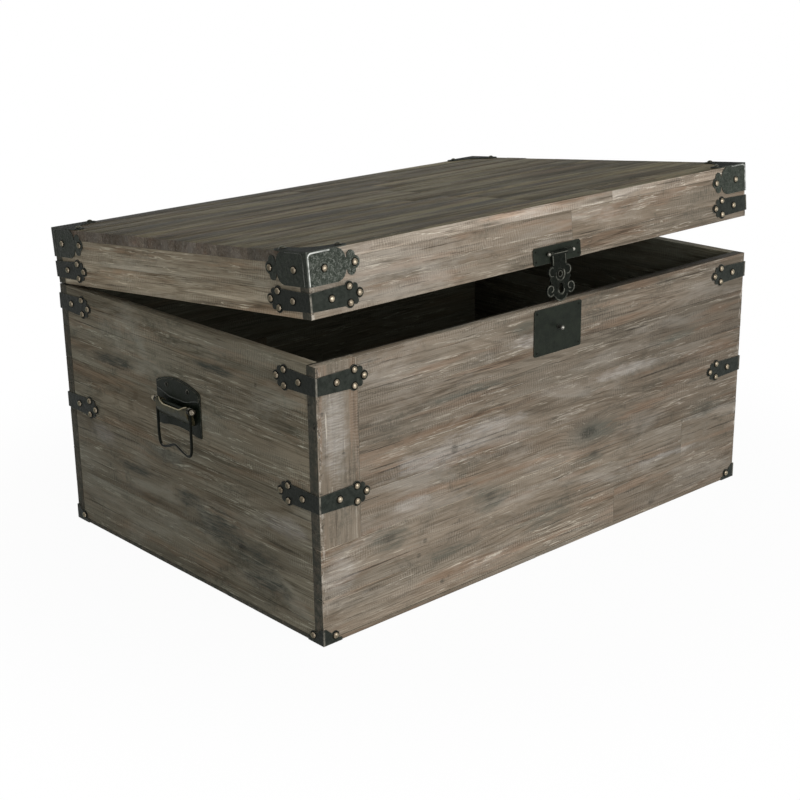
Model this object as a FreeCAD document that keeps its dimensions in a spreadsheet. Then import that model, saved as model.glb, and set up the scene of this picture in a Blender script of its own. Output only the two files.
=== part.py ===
"""Storage trunk of old boards with iron straps, caps, butt hinges, a hasp and two bail handles.

Frame: millimetres, +Z up, origin on the floor under the middle of the trunk, front towards -Y.
The lid stands a little open at rest. Its pieces are placed shut, then swung about the hinge line.
A fitting is laid out as on a bench: x to the right, y up, z out of the wood that it lies on.
"""
import FreeCAD
import Part
import Sketcher
import math
import os

Vector = FreeCAD.Vector

SIZES = [
    # the box
    ("trunk_length", 800.0, "outside length of the wood"),
    ("trunk_depth", 550.0, "outside depth of the wood"),
    ("base_height", 345.0, "floor to rim"),
    ("wall", 16.0, "thickness of the upright boards"),
    ("bottom_board", 6.0, "thickness of the bottom board"),
    ("lid_height", 75.0, "height of the lid"),
    ("lid_board", 14.0, "thickness of the lid's top board"),
    ("rim_gap", 0.5, "gap between the rim and the shut lid"),
    ("lid_open", 5.5, "how far the lid stands open, in degrees"),
    ("arris", 2.0, "bevel of the outer wood edges"),
    ("stave", 50.0, "width of the staves that a board is glued from"),
    ("seam_depth", 0.8, "depth of the seam between two staves"),
    ("seam_width", 1.4, "width of the seam between two staves"),
    # corner straps
    ("gauge", 1.2, "thickness of the strap and cap iron"),
    ("strap_width", 21.5, "width of a strap at the corner"),
    ("strap_flare", 24.5, "width of a strap at its neck"),
    ("strap_neck", 49.0, "corner to the neck of a strap"),
    ("side_lobe_along", 56.0, "corner to the two side lobes"),
    ("side_lobe_off", 9.6, "side lobes off the middle line"),
    ("tip_lobe_along", 70.4, "corner to the tip lobe"),
    ("lobe", 6.0, "radius of a nailed lobe"),
    ("bud_along", 68.5, "corner to the two plain buds"),
    ("bud_off", 9.0, "buds off the middle line"),
    ("strap_nail_along", 29.5, "corner to the middle nail of a strap"),
    ("strap_below_rim", 23.5, "rim down to the upper strap"),
    ("strap_mid_height", 179.5, "floor up to the middle strap"),
    ("strap_above_joint", 19.5, "lower edge of the lid up to its strap"),
    # lid caps
    ("cap_length", 54.5, "corner to the end of a lid cap's leaf"),
    ("cap_drop", 38.5, "lid's top to the lower edge of its caps"),
    ("cap_round", 14.0, "rounding of the leaf's end"),
    ("head_along", 62.2, "corner to the head's side lobes"),
    ("head_off", 8.3, "side lobes off the head's middle line"),
    ("head_lobe", 6.0, "radius of the head's side lobes"),
    ("head_tip_along", 67.0, "corner to the head's tip lobe"),
    ("head_tip", 7.5, "radius of the head's tip lobe"),
    ("head_drop", 20.0, "lid's top to the head's middle line"),
    ("cap_nail_along", 23.0, "corner to the middle nail of a cap"),
    ("cap_arm", 17.0, "width of the two arms on top of the lid"),
    ("arm_nail_along", 53.0, "corner to the nail of an arm"),
    ("arm_nail_off", 9.0, "lid's edge to the nail of an arm"),
    # foot caps
    ("foot_length", 28.0, "corner to the end of a foot cap"),
    ("foot_height", 21.0, "height of a foot cap at the corner"),
    ("foot_edge", 4.0, "height of a foot cap at its end"),
    ("foot_waist", 12.4, "corner to the hollow of its outline, both ways"),
    ("foot_nail_along", 17.5, "corner to its nail"),
    ("foot_nail_up", 9.5, "floor up to its nail"),
    ("foot_lobe", 5.8, "radius of the lobe round its nail"),
    ("foot_play", 0.3, "play of a foot cap in the bottom board's notch"),
    # nails and tacks
    ("nail_radius", 4.1, "radius of a nail's head"),
    ("nail_crown", 2.3, "radius of the flat on a nail's head"),
    ("nail_head", 2.3, "height of a nail's head"),
    ("nail_shank", 1.8, "side of a nail's square shank"),
    ("nail_length", 11.0, "length of a nail in the wood"),
    ("tack_radius", 1.8, "radius of a tack's head"),
    ("tack_crown", 0.9, "radius of the flat on a tack's head"),
    ("tack_head", 0.9, "height of a tack's head"),
    ("tack_shank", 1.0, "side of a tack's square shank"),
    ("tack_length", 8.0, "length of a tack in the wood"),
    ("tack_inset", 5.0, "plate's edge to its tacks"),
    # lock plate and stud
    ("lock_width", 89.0, "width of the lock plate"),
    ("lock_tall", 61.5, "height of the lock plate"),
    ("lock_gauge", 1.5, "thickness of the lock plate"),
    ("lock_below_rim", 3.0, "rim to the top of the lock plate"),
    ("lock_corner", 3.0, "rounding of the lock plate's corners"),
    ("stud_below_rim", 31.0, "rim down to the stud"),
    ("stud_ball", 3.3, "radius of the stud's ball"),
    ("stud_neck", 2.0, "radius of the stud's neck"),
    ("stud_reach", 6.8, "lock plate's face to the middle of the ball"),
    ("stud_tail", 10.0, "length of the stud's tail in the wood"),
    ("stud_play", 0.1, "play of the stud in the lock plate"),
    # hasp and its plate
    ("hasp_plate_width", 88.5, "width of the hasp plate"),
    ("hasp_plate_tall", 22.5, "height of the hasp plate"),
    ("hasp_plate_gauge", 1.5, "thickness of the hasp plate"),
    ("hasp_border", 3.0, "width of the hasp plate's raised border"),
    ("hasp_panel", 0.4, "depth of the panels inside the border"),
    ("hasp_plate_clip", 2.5, "size of its clipped corners"),
    ("hasp_pin_up", 12.0, "lid's lower edge to the hasp pin"),
    ("hasp_pin", 1.4, "radius of the hasp pin"),
    ("hasp_knuckle", 2.9, "outer radius of the hasp's knuckles"),
    ("pin_play", 0.06, "radial play of a hinge pin"),
    ("knuckle_gap", 0.3, "gap beside and behind a knuckle"),
    ("hasp_neck", 26.5, "width of the hasp's knuckle and neck"),
    ("near_knuckle", 2.6, "width of the hasp plate's left knuckle"),
    ("far_knuckle", 10.0, "width of the hasp plate's right knuckle"),
    ("hasp_pin_ball", 2.6, "radius of the hasp pin's ball ends"),
    ("hasp_gauge", 2.2, "thickness of the hasp"),
    ("hasp_back", 2.0, "wood to the back of the hasp"),
    ("ear_down", 23.5, "pin to the hasp's upper ears"),
    ("ear_off", 14.3, "upper ears off the middle line"),
    ("ear", 7.0, "radius of the upper ears"),
    ("waist_down", 34.0, "pin to the hasp's waist"),
    ("waist", 15.0, "half width of the waist"),
    ("scroll_down", 46.8, "pin to the hasp's lower scrolls"),
    ("scroll_off", 18.2, "lower scrolls off the middle line"),
    ("scroll", 8.0, "radius of the lower scrolls"),
    ("bowl_down", 48.8, "pin to the middle of the hasp's bowl"),
    ("bowl", 14.0, "radius of the hasp's bowl"),
    ("roundel_down", 27.5, "pin to the sunk roundel"),
    ("roundel", 7.0, "radius of the roundel"),
    ("roundel_hole", 2.6, "radius of the hole in the roundel"),
    ("relief", 0.8, "depth of the roundel and height of the eye's rim"),
    ("eye_play", 0.75, "play of the stud's ball in the hasp's eye"),
    ("eye_travel", 2.3, "half length of the straight part of the eye"),
    ("eye_rim", 2.6, "width of the rim round the eye"),
    # butt hinges
    ("hinge_inset", 150.0, "trunk's end to the middle of a hinge"),
    ("leaf_width", 60.0, "width of a hinge leaf"),
    ("leaf_tall", 30.0, "hinge line to the end of a leaf"),
    ("leaf_gauge", 1.6, "thickness of a hinge leaf"),
    ("barrel", 3.8, "outer radius of a hinge's knuckles"),
    ("hinge_pin", 2.0, "radius of a hinge pin"),
    ("hinge_pin_end", 1.5, "length of hinge pin that stands out of its knuckles"),
    ("middle_knuckle", 22.0, "width of the lid leaf's knuckle"),
    ("leaf_clear", 0.8, "clearance between a leaf and the other's knuckle"),
    ("leaf_nail_off", 20.0, "hinge nails off the leaf's middle"),
    ("leaf_nail_rise", 18.0, "hinge line to the nails"),
    # screws
    ("screw_radius", 3.6, "radius of a screw's head"),
    ("screw_head", 1.3, "height of a screw's head"),
    ("screw_shank", 1.6, "radius of a screw's shank"),
    ("screw_length", 11.0, "length of a screw in the wood"),
    ("screw_slot", 0.9, "width of a screw's slot"),
    ("screw_slot_deep", 0.7, "depth of a screw's slot"),
    ("screw_play", 0.2, "play of a screw in its plate"),
    # side handles
    ("grip_width", 95.0, "width of a handle's plate"),
    ("grip_floor", 202.0, "floor to the plate's lower edge"),
    ("grip_shoulder", 260.0, "floor to the plate's shoulders"),
    ("grip_crown", 270.5, "floor to the plate's crown"),
    ("grip_leg", 11.0, "width of the plate's two legs"),
    ("grip_arch", 4.5, "rise of the arch between the legs"),
    ("grip_gauge", 1.6, "thickness of the plate"),
    ("grip_relief", 0.8, "height of the plate's raised upper panel"),
    ("grip_margin", 2.0, "plate's edge to the raised panel"),
    ("lip_low", 243.5, "floor to the middle of the panel's lip"),
    ("lip_high", 250.0, "floor to the ends of the panel's lip"),
    ("lip_shoulder", 24.0, "where the lip starts to dip, off the middle"),
    ("grip_axis_up", 238.0, "floor to the bail's pin"),
    ("grip_axis_out", 9.5, "wood to the bail's pin"),
    ("grip_pin", 2.2, "radius of the bail's pin"),
    ("grip_ball", 4.2, "radius of the pin's ball ends"),
    ("cradle_wall", 1.8, "thickness of the cradle round the pin"),
    ("cradle_half", 34.0, "half width of the cradle"),
    ("cradle_foot", 216.0, "floor to the foot of the cradle"),
    ("cradle_root", 5.0, "height of the cradle's root on the plate"),
    ("cradle_belly", 222.0, "floor to the belly of the cradle"),
    ("cradle_dip", 8.5, "how far the cradle's lip dips in the middle"),
    ("cradle_knuckle", 9.0, "width of the two knuckles that grip the pin"),
    ("grip_screw_off", 23.0, "handle screws off the middle"),
    ("grip_screw_up", 258.5, "floor to the handle screws"),
    ("bail_wire", 1.9, "radius of the bail's wire"),
    ("bail_eye", 4.4, "outer radius of the bail's eyes"),
    ("bail_arm_up", 184.0, "floor to the lower end of the bail's arms"),
    ("bail_toe_up", 175.5, "floor to the bail's two toes"),
    ("bail_toe_off", 30.5, "toes off the middle"),
    ("bail_cusp_up", 186.0, "floor to the bail's cusp"),
]

UPRIGHT = 90
HEAD_SIDES = 6
TURNED_SIDES = 8
SCROLL_SIDES = 12
EIGHTH = 22.5
CORNERS = {
    "front_left": (-1, -1, 0),
    "front_right": (1, -1, 90),
    "back_right": (1, 1, 180),
    "back_left": (-1, 1, 270),
}
TUCK = 1 - math.sqrt(0.5)

doc = FreeCAD.newDocument("StorageTrunk")
sheet = doc.addObject("Spreadsheet::Sheet", "Sizes")
nodes = []


class Size:
    """A length together with the sheet formula that it comes from."""

    def __init__(self, number, formula):
        self.number = float(number)
        self.formula = str(formula)

    def __add__(self, other):
        return self.joined("+", other, lambda a, b: a + b)

    def __sub__(self, other):
        return self.joined("-", other, lambda a, b: a - b)

    def __mul__(self, other):
        return self.joined("*", other, lambda a, b: a * b)

    def __truediv__(self, other):
        return self.joined("/", other, lambda a, b: a / b)

    def __neg__(self):
        return Size(-self.number, f"(-1 * {self.formula})")

    def joined(self, sign, other, work):
        """Both the number and the formula of two sizes put together."""
        other = as_size(other)
        return Size(work(self.number, other.number), f"({self.formula} {sign} {other.formula})")


def as_size(value):
    """A plain number as a size."""
    return value if isinstance(value, Size) else Size(value, repr(float(value)))


def read_sizes():
    """Fills the sheet and gives one attribute for each of its aliases."""
    names = {}
    for row, (alias, value, meaning) in enumerate(SIZES, start=1):
        sheet.set(f"A{row}", meaning)
        sheet.set(f"B{row}", str(value))
        sheet.setAlias(f"B{row}", alias)
        names[alias] = Size(value, f"Sizes.{alias}")
    doc.recompute()
    return type("Sizes", (), names)


S = read_sizes()

# Places that several pieces share.
FRONT = -S.trunk_depth / 2
BACK = S.trunk_depth / 2
LEFT = -S.trunk_length / 2
RIGHT = S.trunk_length / 2
JOINT = S.base_height + S.rim_gap
LID_TOP = JOINT + S.lid_height
HINGE_OUT = S.barrel + S.knuckle_gap
HINGE_Y = BACK + HINGE_OUT
HINGE_Z = S.base_height + S.rim_gap / 2
HASP_PIN_OUT = S.hasp_plate_gauge + S.knuckle_gap + S.hasp_knuckle
STUD_Z = S.base_height - S.stud_below_rim


def bind(thing, **sizes):
    """Ties properties of an object to the sheet."""
    for name, value in sizes.items():
        thing.setExpression(name, as_size(value).formula)
    return thing


def at(x=0, y=0, z=0, heading=0, tilt=0):
    """A placement formula: turned by tilt about X, then by heading about Z, then moved."""
    spot = "; ".join(as_size(value).formula for value in (x, y, z))
    turns = f"rotation(vector(0; 0; 1); {heading}) * rotation(vector(1; 0; 0); {as_size(tilt).formula})"
    return f"placement(vector({spot}); {turns})"


def along_x(x, y=0, z=0):
    """A placement formula that lays an upright primitive down along x."""
    spot = "; ".join(as_size(value).formula for value in (x, y, z))
    return f"placement(vector({spot}); rotation(vector(0; 1; 0); 90))"


LID_SWING = f"{at(0, HINGE_Y, HINGE_Z, tilt=-S.lid_open)} * {at(0, -HINGE_Y, -HINGE_Z)}"
IN_FRONT = at(0, FRONT, 0, tilt=UPRIGHT)
HANDED = {"left": at(LEFT, 0, 0, -90, UPRIGHT), "right": at(RIGHT, 0, 0, 90, UPRIGHT)}


def place(thing, where, on_lid=False):
    """Binds an object's placement, swung open with the lid where it belongs to it."""
    thing.setExpression("Placement", f"{LID_SWING} * {where}" if on_lid else where)
    return thing


def node(thing, label):
    """Names a sub-part, which is then written to a file of that name."""
    thing.Label = label
    nodes.append(thing)
    return thing


def new_body(name):
    """An empty body."""
    return doc.addObject("PartDesign::Body", name)


def plane_of(body, role):
    """One of a body's own origin planes or axes."""
    return next(item for item in body.Origin.OriginFeatures if item.Role == role)


def sketch_on(body, name, role="XY_Plane", lift=0):
    """A sketch on an origin plane of its own body, lifted off it along its normal."""
    sketch = body.newObject("Sketcher::SketchObject", name)
    sketch.AttachmentSupport = [(plane_of(body, role), "")]
    sketch.MapMode = "FlatFace"
    sketch.setExpression("AttachmentOffset.Base.z", as_size(lift).formula)
    return sketch


def fix_point(sketch, geometry, vertex, x, y):
    """Ties a point of a sketch to the sheet."""
    for kind, value in (("DistanceX", as_size(x)), ("DistanceY", as_size(y))):
        number = sketch.addConstraint(Sketcher.Constraint(kind, -1, 1, geometry, vertex, value.number))
        sketch.setExpression(f"Constraints[{number}]", value.formula)


def end_at(sketch, geometry, point):
    """Which end of a line or an arc lies at a point: 1 for its start and 2 for its end."""
    return 1 if sketch.Geometry[geometry].StartPoint.isEqual(point, 1e-6) else 2


def outline(sketch, start, *moves):
    """Draws a closed outline whose last point joins its first.

    A move is an end point, or a point on an arc followed by the arc's end point.
    """
    corners = [start] + [move[-2:] for move in moves]
    points = [Vector(as_size(x).number, as_size(y).number) for x, y in corners]
    first = sketch.GeometryCount
    for here, there, move in zip(points, points[1:], moves):
        if len(move) == 2:
            sketch.addGeometry(Part.LineSegment(here, there))
        else:
            middle = Vector(as_size(move[0]).number, as_size(move[1]).number)
            anticlockwise = (middle - here).cross(there - middle).z > 0
            ends = (here, middle, there) if anticlockwise else (there, middle, here)
            sketch.addGeometry(Part.Arc(*ends))
    sketch.addGeometry(Part.LineSegment(points[-1], points[0]))
    count = len(points)
    for index, point in enumerate(points):
        last, this = first + (index - 1) % count, first + index
        ends = [end_at(sketch, geometry, point) for geometry in (last, this)]
        sketch.addConstraint(Sketcher.Constraint("Coincident", last, ends[0], this, ends[1]))
        fix_point(sketch, this, ends[1], *corners[index])
    return sketch


def rectangle(sketch, left, right, low, high):
    """A rectangle with all four sides tied to the sheet."""
    return outline(sketch, (left, low), (right, low), (right, high), (left, high))


def circle(sketch, x, y, radius):
    """A circle tied to the sheet."""
    spot = Vector(as_size(x).number, as_size(y).number)
    number = sketch.addGeometry(Part.Circle(spot, Vector(0, 0, 1), as_size(radius).number))
    fix_point(sketch, number, 3, x, y)
    size = sketch.addConstraint(Sketcher.Constraint("Radius", number, as_size(radius).number))
    sketch.setExpression(f"Constraints[{size}]", as_size(radius).formula)
    return sketch


def pad(body, sketch, length, reverse=False):
    """Pads a sketch."""
    feature = body.newObject("PartDesign::Pad", sketch.Name + "_pad")
    feature.Profile = sketch
    feature.Reversed = reverse
    body.Tip = feature
    return bind(feature, Length=length)


def pocket(body, sketch, length, reverse=False, both_ways=False):
    """Cuts a sketch out of a body and makes sure that it cuts."""
    doc.recompute()
    before = body.Shape.Volume
    feature = body.newObject("PartDesign::Pocket", sketch.Name + "_cut")
    feature.Profile = sketch
    feature.Reversed = reverse
    feature.Midplane = both_ways
    bind(feature, Length=length)
    body.Tip = feature
    doc.recompute()
    if body.Shape.Volume >= before:
        raise RuntimeError(f"{feature.Name} cuts nothing")
    return feature


def middle_of(edge):
    """The point half way along an edge."""
    return edge.valueAt((edge.FirstParameter + edge.LastParameter) / 2)


def near(coordinate, size):
    """Whether a coordinate lies at a size."""
    return abs(coordinate - as_size(size).number) < 0.01


def dress_edges(body, kind, size, wanted):
    """Rounds or chamfers the edges of a body whose middle point passes a test."""
    doc.recompute()
    tip = body.Tip
    names = [f"Edge{i}" for i, edge in enumerate(tip.Shape.Edges, start=1) if wanted(middle_of(edge))]
    if not names:
        raise RuntimeError(f"{body.Name} has no such edge")
    feature = body.newObject(f"PartDesign::{kind}", f"{body.Name}_{kind}")
    feature.Base = (tip, names)
    body.Tip = feature
    return bind(feature, **{"Radius" if kind == "Fillet" else "Size": size})


def primitive(body, kind, name, where, **sizes):
    """Adds a primitive to a body, or cuts one out of it."""
    feature = body.newObject(f"PartDesign::{kind}", name)
    bind(feature, **sizes)
    feature.setExpression("Placement", where)
    body.Tip = feature
    return feature


def copy_of(master, label, where, on_lid=False):
    """A body that repeats a master's shape in a place of its own."""
    body = new_body(label)
    body.BaseFeature = master
    return node(place(body, where, on_lid), label)


def group_of(label, master, spots, on_lid=False):
    """One node of separate copies of a fastener."""
    copies = []
    for where in spots:
        copy = doc.addObject("Part::Compound", label + "_one")
        copy.Links = [master]
        copies.append(place(copy, where, on_lid))
    group = doc.addObject("Part::Compound", label)
    group.Links = copies
    return node(group, label)


# ---------------------------------------------------------------- boards

def board(label, length, tall, thick):
    """A board with its outer face at z = 0 and its lower edge at y = 0."""
    body = new_body(label)
    face = rectangle(sketch_on(body, label + "_face"), -length / 2, length / 2, 0, tall)
    pad(body, face, thick, reverse=True)
    return body


def cut_seams(body, length, tall):
    """V-shaped seams between the staves, which run along x."""
    seams = math.ceil(tall.number / S.stave.number) - 1
    groove = sketch_on(body, body.Name + "_seam", "YZ_Plane")
    low, high = S.stave - S.seam_width / 2, S.stave + S.seam_width / 2
    outline(groove, (low, S.seam_depth), (low, 0), (S.stave, -S.seam_depth), (high, 0), (high, S.seam_depth))
    cut = pocket(body, groove, length + S.wall, both_ways=True)
    if seams > 1:
        row = body.newObject("PartDesign::LinearPattern", body.Name + "_seams")
        row.Originals = [cut]
        row.Direction = (plane_of(body, "Y_Axis"), [""])
        row.Occurrences = seams
        bind(row, Length=S.stave * (seams - 1))
        body.Tip = row


def make_walls(prefix, low, tall, on_lid):
    """Four upright boards: front and back cover the ends of the left and right ones."""
    length = S.trunk_length
    for side, y, heading in (("front", FRONT, 0), ("back", BACK, 180)):
        body = board(f"{prefix}_{side}", length, tall, S.wall)
        dress_edges(body, "Chamfer", S.arris, lambda point: near(point.z, 0) and near(point.y, tall / 2))
        cut_seams(body, length, tall)
        node(place(body, at(0, y, low, heading, UPRIGHT), on_lid), body.Name)
    length = S.trunk_depth - S.wall * 2
    for side, x, heading in (("left", LEFT, -90), ("right", RIGHT, 90)):
        body = board(f"{prefix}_{side}", length, tall, S.wall)
        cut_seams(body, length, tall)
        node(place(body, at(x, 0, low, heading, UPRIGHT), on_lid), body.Name)


def make_bottom():
    """Bottom board, notched underneath so that the foot caps lie flush with it."""
    body = new_body("base_bottom")
    pad(body, rectangle(sketch_on(body, "bottom_face"), LEFT, RIGHT, FRONT, BACK), S.bottom_board)
    dress_edges(body, "Chamfer", S.arris, lambda point: near(point.z, S.bottom_board / 2))
    notch = sketch_on(body, "bottom_notch")
    reach = S.foot_length + S.foot_play
    rectangle(notch, LEFT - S.arris, LEFT + reach, FRONT - S.arris, FRONT + reach)
    cut = pocket(body, notch, S.gauge, reverse=True)
    four = body.newObject("PartDesign::MultiTransform", "bottom_notches")
    four.Originals = [cut]
    mirrors = []
    for role in ("YZ_Plane", "XZ_Plane"):
        mirror = body.newObject("PartDesign::Mirrored", "notch_" + role)
        mirror.MirrorPlane = (plane_of(body, role), [""])
        mirrors.append(mirror)
    four.Transformations = mirrors
    body.Tip = four
    node(body, "base_bottom")


def make_boards():
    """The base's walls stand on the bottom board, and the lid's rails carry its top."""
    make_walls("base", S.bottom_board, S.base_height - S.bottom_board, on_lid=False)
    make_bottom()
    make_walls("lid", JOINT, S.lid_height - S.lid_board, on_lid=True)
    top = board("lid_top", S.trunk_length, S.trunk_depth, S.lid_board)
    dress_edges(top, "Chamfer", S.arris, lambda point: near(point.z, 0) or near(point.z, -S.lid_board / 2))
    cut_seams(top, S.trunk_length, S.trunk_depth)
    node(place(top, at(0, FRONT, LID_TOP), on_lid=True), "lid_top")


# ---------------------------------------------------------------- nails, tacks and screws

def make_nail(name, head, crown, rise, shank, reach):
    """A clout: a faceted head on the iron over a square shank that tapers to a point."""
    rings = []
    for part, radius, z in (("rim", head, 0), ("crown", crown, rise)):
        ring = doc.addObject("Part::RegularPolygon", f"{name}_{part}")
        ring.Polygon = HEAD_SIDES
        rings.append(place(bind(ring, Circumradius=radius), at(0, 0, z)))
    dome = doc.addObject("Part::Loft", name + "_dome")
    dome.Sections = rings
    dome.Solid = True
    dome.Ruled = True
    spike = doc.addObject("Part::Wedge", name + "_spike")
    half = shank / 2
    bind(spike, Xmin=-half, Xmax=half, Zmin=-half, Zmax=half, Ymin=0, Ymax=reach)
    bind(spike, X2min=0, X2max=0, Z2min=0, Z2max=0)
    place(spike, at(tilt=-UPRIGHT))
    nail = doc.addObject("Part::MultiFuse", name)
    nail.Shapes = [dome, spike]
    return nail


def make_screw(name, passed):
    """A slotted screw that passes a plate and holds in the wood."""
    body = new_body(name)
    head = primitive(body, "AdditivePrism", name + "_head", at(),
                     Circumradius=S.screw_radius, Height=S.screw_head)
    head.Polygon = TURNED_SIDES
    slot = at(-S.screw_radius, -S.screw_slot / 2, S.screw_head - S.screw_slot_deep)
    primitive(body, "SubtractiveBox", name + "_slot", slot,
              Length=S.screw_radius * 2, Width=S.screw_slot, Height=S.screw_slot_deep)
    reach = S.screw_length + passed
    shank = primitive(body, "AdditivePrism", name + "_shank", at(0, 0, -reach),
                      Circumradius=S.screw_shank, Height=reach)
    shank.Polygon = HEAD_SIDES
    return body


# ---------------------------------------------------------------- corner straps

def corner_spot(corner, z):
    """Where a corner piece sits on the box. Its own corner points at the box's front left one."""
    side_x, side_y, heading = CORNERS[corner]
    return at(S.trunk_length / 2 * side_x, S.trunk_depth / 2 * side_y, z, heading)


def strap_nails(face):
    """A strap's nails, four on each leg, seated at a height above the wood."""
    spots = []
    for along, off in ((S.strap_nail_along, 0), (S.side_lobe_along, S.side_lobe_off),
                       (S.side_lobe_along, -S.side_lobe_off), (S.tip_lobe_along, 0)):
        spots.append(at(along, -face, off, tilt=UPRIGHT))
        spots.append(at(-face, along, off, -90, UPRIGHT))
    return spots


def make_strap():
    """A strap bent round a corner: legs along +X and +Y, middle line at z = 0, wood inside."""
    body = new_body("corner_strap")
    lobes = ((S.side_lobe_along, S.side_lobe_off), (S.side_lobe_along, -S.side_lobe_off),
             (S.tip_lobe_along, 0))
    for leg, plane in (("front", "XZ_Plane"), ("side", "YZ_Plane")):
        band = sketch_on(body, f"strap_{leg}", plane)
        half, flare = S.strap_width / 2, S.strap_flare / 2
        outline(band, (-S.gauge, -half), (0, -half), (S.strap_neck, -flare), (S.bud_along, -S.bud_off),
                (S.tip_lobe_along, 0), (S.bud_along, S.bud_off), (S.strap_neck, flare), (0, half),
                (-S.gauge, half))
        pad(body, band, S.gauge, reverse=leg == "side")
        for count, (along, off) in enumerate(lobes):
            where = at(along, 0, off, tilt=UPRIGHT) if leg == "front" else at(0, along, off, -90, UPRIGHT)
            lobe = primitive(body, "AdditivePrism", f"strap_{leg}_lobe{count}", where,
                             Circumradius=S.lobe, Height=S.gauge)
            lobe.Polygon = TURNED_SIDES
    dress_edges(body, "Chamfer", S.gauge, lambda point: near(point.x, -S.gauge) and near(point.y, -S.gauge))
    return body


def make_straps():
    """Two rows of straps on the base and one on the lid. Gives the spots of their nails."""
    strap = make_strap()
    rows = (("strap_base_upper", S.base_height - S.strap_below_rim, False),
            ("strap_base_mid", S.strap_mid_height, False), ("strap_lid", JOINT + S.strap_above_joint, True))
    base_spots, lid_spots = [], []
    for prefix, z, on_lid in rows:
        for corner in CORNERS:
            where = corner_spot(corner, z)
            copy_of(strap, f"{prefix}_{corner}", where, on_lid)
            spots = lid_spots if on_lid else base_spots
            spots.extend(f"{where} * {spot}" for spot in strap_nails(S.gauge))
    return base_spots, lid_spots


# ---------------------------------------------------------------- lid caps and foot caps

def box_corner(name, reach):
    """Sheet iron bent round a box corner. The wood lies at x, y and z above zero."""
    outer = doc.addObject("Part::Box", name + "_outer")
    bind(outer, Length=reach + S.gauge, Width=reach + S.gauge, Height=reach + S.gauge)
    place(outer, at(-S.gauge, -S.gauge, -S.gauge))
    doc.recompute()
    bends = []
    for number, edge in enumerate(outer.Shape.Edges, start=1):
        if sum(near(value, -S.gauge) for value in middle_of(edge)) == 2:
            bends.append((number, S.gauge.number, S.gauge.number))
    bent = doc.addObject("Part::Chamfer", name + "_bent")
    bent.Base = outer
    bent.Edges = bends
    inner = doc.addObject("Part::Box", name + "_inner")
    bind(inner, Length=reach + S.gauge, Width=reach + S.gauge, Height=reach + S.gauge)
    shell = doc.addObject("Part::Cut", name + "_shell")
    shell.Base = bent
    shell.Tool = inner
    return shell


def flange(name, shell, tilt, discs, start, *moves):
    """The part of a box corner under an outline, which is drawn on the face that the tilt gives."""
    sketch = doc.addObject("Sketcher::SketchObject", name + "_outline")
    outline(sketch, start, *moves)
    plan = doc.addObject("Part::Extrusion", name + "_plan")
    plan.Base = sketch
    plan.DirMode = "Normal"
    plan.Solid = True
    bind(plan, LengthFwd=S.gauge, LengthRev=S.gauge)
    pieces = [plan]
    for count, (along, off, radius) in enumerate(discs):
        disc = doc.addObject("Part::Prism", f"{name}_disc{count}")
        disc.Polygon = TURNED_SIDES
        pieces.append(place(bind(disc, Circumradius=radius, Height=S.gauge), at(along, off)))
    prism = plan
    if discs:
        prism = doc.addObject("Part::MultiFuse", name + "_prism")
        prism.Shapes = pieces
    place(prism, at(tilt=tilt))
    leaf = doc.addObject("Part::MultiCommon", name)
    leaf.Shapes = [shell, prism]
    return leaf


def twin(leaf):
    """A leaf's mirror image in the plane x = y, which is the leaf of the neighbouring face."""
    image = doc.addObject("Part::Mirroring", leaf.Name + "_twin")
    image.Source = leaf
    image.Normal = Vector(1, -1, 0)
    return image


def join_cap(name, leaves):
    """Fuses a cap's leaves."""
    whole = doc.addObject("Part::MultiFuse", name)
    whole.Shapes = leaves
    whole.Refine = True
    return whole


def lid_cap_nails(face):
    """A lid cap's nails: two on each upright leaf and one on each arm."""
    spots = []
    for along in (S.cap_nail_along, S.head_tip_along):
        spots.append(at(along, -face, S.head_drop, tilt=UPRIGHT))
        spots.append(at(-face, along, S.head_drop, -90, UPRIGHT))
    spots.append(at(S.arm_nail_along, S.arm_nail_off, -face, tilt=180))
    spots.append(at(S.arm_nail_off, S.arm_nail_along, -face, tilt=180))
    return spots


def make_lid_cap():
    """Lid cap, seen as if the lid lay on its top: z is the depth below the lid's top."""
    shell = box_corner("lid_cap_corner", S.head_tip_along + S.head_tip)
    end, low, turn = S.cap_length, S.cap_drop, S.cap_round
    discs = [(S.head_along, S.head_drop - S.head_off, S.head_lobe),
             (S.head_along, S.head_drop, S.head_off),
             (S.head_along, S.head_drop + S.head_off, S.head_lobe),
             (S.head_tip_along, S.head_drop, S.head_tip)]
    leaf = flange("lid_cap_leaf", shell, UPRIGHT, discs, (-S.gauge, -S.gauge), (end - turn, -S.gauge),
                  (end - turn * TUCK, turn * TUCK, end, turn), (end, low - turn),
                  (end - turn * TUCK, low - turn * TUCK, end - turn, low), (-S.gauge, low))
    nail, off, arm = S.arm_nail_along, S.arm_nail_off, S.cap_arm
    hollow = arm + (nail - arm) * TUCK
    top = flange("lid_cap_top", shell, 180, [(nail, -off, off), (off, -nail, off)], (-S.gauge, S.gauge),
                 (nail, S.gauge), (nail, -arm), (hollow, -hollow, arm, -nail), (-S.gauge, -nail))
    return join_cap("lid_cap", [leaf, twin(leaf), top])


def foot_cap_nails(face):
    """A foot cap's nails, one on each upright leaf."""
    up = S.foot_nail_up - S.gauge
    return [at(S.foot_nail_along, -face, up, tilt=UPRIGHT), at(-face, S.foot_nail_along, up, -90, UPRIGHT)]


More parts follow.
